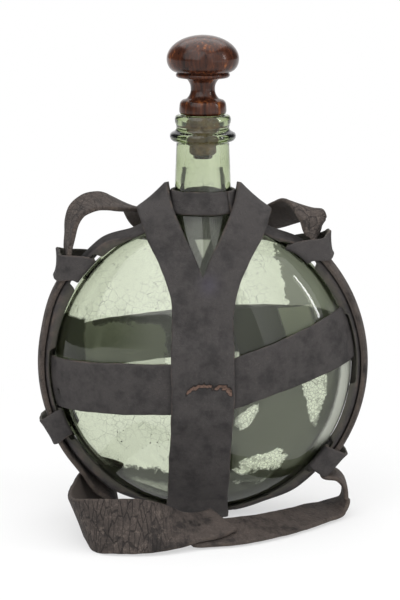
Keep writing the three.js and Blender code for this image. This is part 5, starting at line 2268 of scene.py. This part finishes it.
@dataclass
class Studio:
    """The floor, the light and the camera of the photograph."""

    camera_at: Triple = (-0.0015, -1.18, 0.34)
    look_at: Triple = (-0.0015, 0.0, 0.117)
    lens: float = 135.0
    ambient: float = 0.55
    side_level: float = 0.12
    side_fall: Span = (0.3, 0.72)
    floor_half: float = 12000.0
    floor_z: float = -0.1
    lamp_aim: Triple = (0.0, 0.0, 0.11)
    lamps: tuple[Lamp, ...] = (
        Lamp("key", (-0.55, -0.75, 0.95), (1.3, 1.3), 9.0),
        Lamp("fill", (0.8, -0.6, 0.6), (1.2, 1.2), 4.5),
        Lamp("top", (0.0, 0.25, 1.1), (1.2, 1.2), 6.0),
        Lamp("strip", (0.93, -0.26, 0.55), (0.05, 0.45), 1.0),
    )

    def build(self) -> None:
        """Sets the stage."""
        self._floor()
        self._world()
        for lamp in self.lamps:
            self._lamp(lamp)
        self._camera()
        bpy.context.scene.view_settings.view_transform = "Standard"

    def _floor(self) -> None:
        """Lays the floor just under the object."""
        half, z = self.floor_half, self.floor_z
        corners = np.array([(-half, -half, z), (half, -half, z), (half, half, z), (-half, half, z)])
        floor = make_object("floor", corners, [(0, 1, 2, 3)], FloorFinish().build())

    def _world(self) -> None:
        """Lights the world softly, and shows it as white."""
        world = bpy.data.worlds.new("studio")
        bpy.context.scene.world = world
        world.use_nodes = True
        shader = NodeTree(world.node_tree)
        camera, glossy, through = shader.rays()
        heading = shader.out("ShaderNodeTexCoord", "Generated")
        sideways = abs(shader.out("ShaderNodeSeparateXYZ", "X", {"Vector": heading}))
        room = 1.0 - sideways.eased(*self.side_fall) * (1.0 - self.side_level)
        shown = glossy.larger(through) * (1.0 - camera)
        strength = self.ambient + camera * (1.0 - self.ambient) + shown * (room - self.ambient)
        light = shader.out("ShaderNodeBackground", 0, {"Color": WHITE, "Strength": strength})
        shader.node("ShaderNodeOutputWorld", {"Surface": light})

    def _lamp(self, lamp: Lamp) -> None:
        """Adds a lamp that faces the object.

        Args:
            lamp: The lamp.
        """
        data = bpy.data.lights.new(lamp.name, "AREA")
        data.shape = "RECTANGLE"
        data.size, data.size_y = lamp.size
        data.energy = lamp.power
        self._aim(bpy.data.objects.new(lamp.name, data), lamp.at, self.lamp_aim)

    @staticmethod
    def _aim(made: Object, at: Triple, target: Triple) -> None:
        """Places a lamp or a camera and turns it to a target.

        Args:
            made: The lamp or camera.
            at: Its place.
            target: What it faces.
        """
        made.location = at
        made.rotation_euler = (Vector(target) - Vector(at)).to_track_quat("-Z", "Y").to_euler()
        bpy.context.scene.collection.objects.link(made)

    def _camera(self) -> None:
        """Adds the camera at the photograph's angle."""
        data = bpy.data.cameras.new("camera")
        data.lens = self.lens
        camera = bpy.data.objects.new("camera", data)
        self._aim(camera, self.camera_at, self.look_at)
        bpy.context.scene.camera = camera


HARNESS_LEATHER = LeatherFinish(
    "harness_leather_aged",
    dark=(0.021, 0.019, 0.019, 1.0),
    base=(0.052, 0.047, 0.046, 1.0),
    pale=(0.105, 0.092, 0.086, 1.0),
    edge=(0.105, 0.080, 0.066, 1.0),
)
SLING_LEATHER = LeatherFinish(
    "sling_leather_cracked",
    dark=(0.016, 0.013, 0.012, 1.0),
    base=(0.080, 0.064, 0.056, 1.0),
    pale=(0.175, 0.142, 0.120, 1.0),
    edge=(0.095, 0.074, 0.058, 1.0),
    flesh=(0.084, 0.068, 0.059, 1.0),
    roughness=0.8,
    grain=0.65,
)
RESIDUE = PlainFinish("dried_residue", dark=(0.02, 0.022, 0.012, 1.0), base=(0.06, 0.06, 0.035, 1.0))
CORK = PlainFinish("cork_aged", dark=(0.11, 0.06, 0.03, 1.0), base=(0.26, 0.15, 0.07, 1.0))
THREAD = PlainFinish("thread_waxed", dark=(0.07, 0.058, 0.045, 1.0), base=(0.17, 0.14, 0.105, 1.0))


def main() -> None:
    """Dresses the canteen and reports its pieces."""
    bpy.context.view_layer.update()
    flask = GlassFlask()
    harness = Harness(HARNESS_LEATHER.build())
    sling = Sling(harness, SLING_LEATHER.build())
    pieces = [
        flask.build(GlassFinish("glass_pale_green").build()),
        flask.specks(RESIDUE.build()),
        *Stopper(flask).build(WoodFinish("wood_polished").build(), CORK.build()),
        *harness.build(),
        Stitching(harness).build(THREAD.build()),
        *sling.build(),
    ]
    for piece in pieces:
        log.info("piece %s, %d faces", piece.name, len(piece.data.polygons))
    Studio().build()


if __name__ == "__main__":
    logging.basicConfig(level=logging.INFO)
    main()
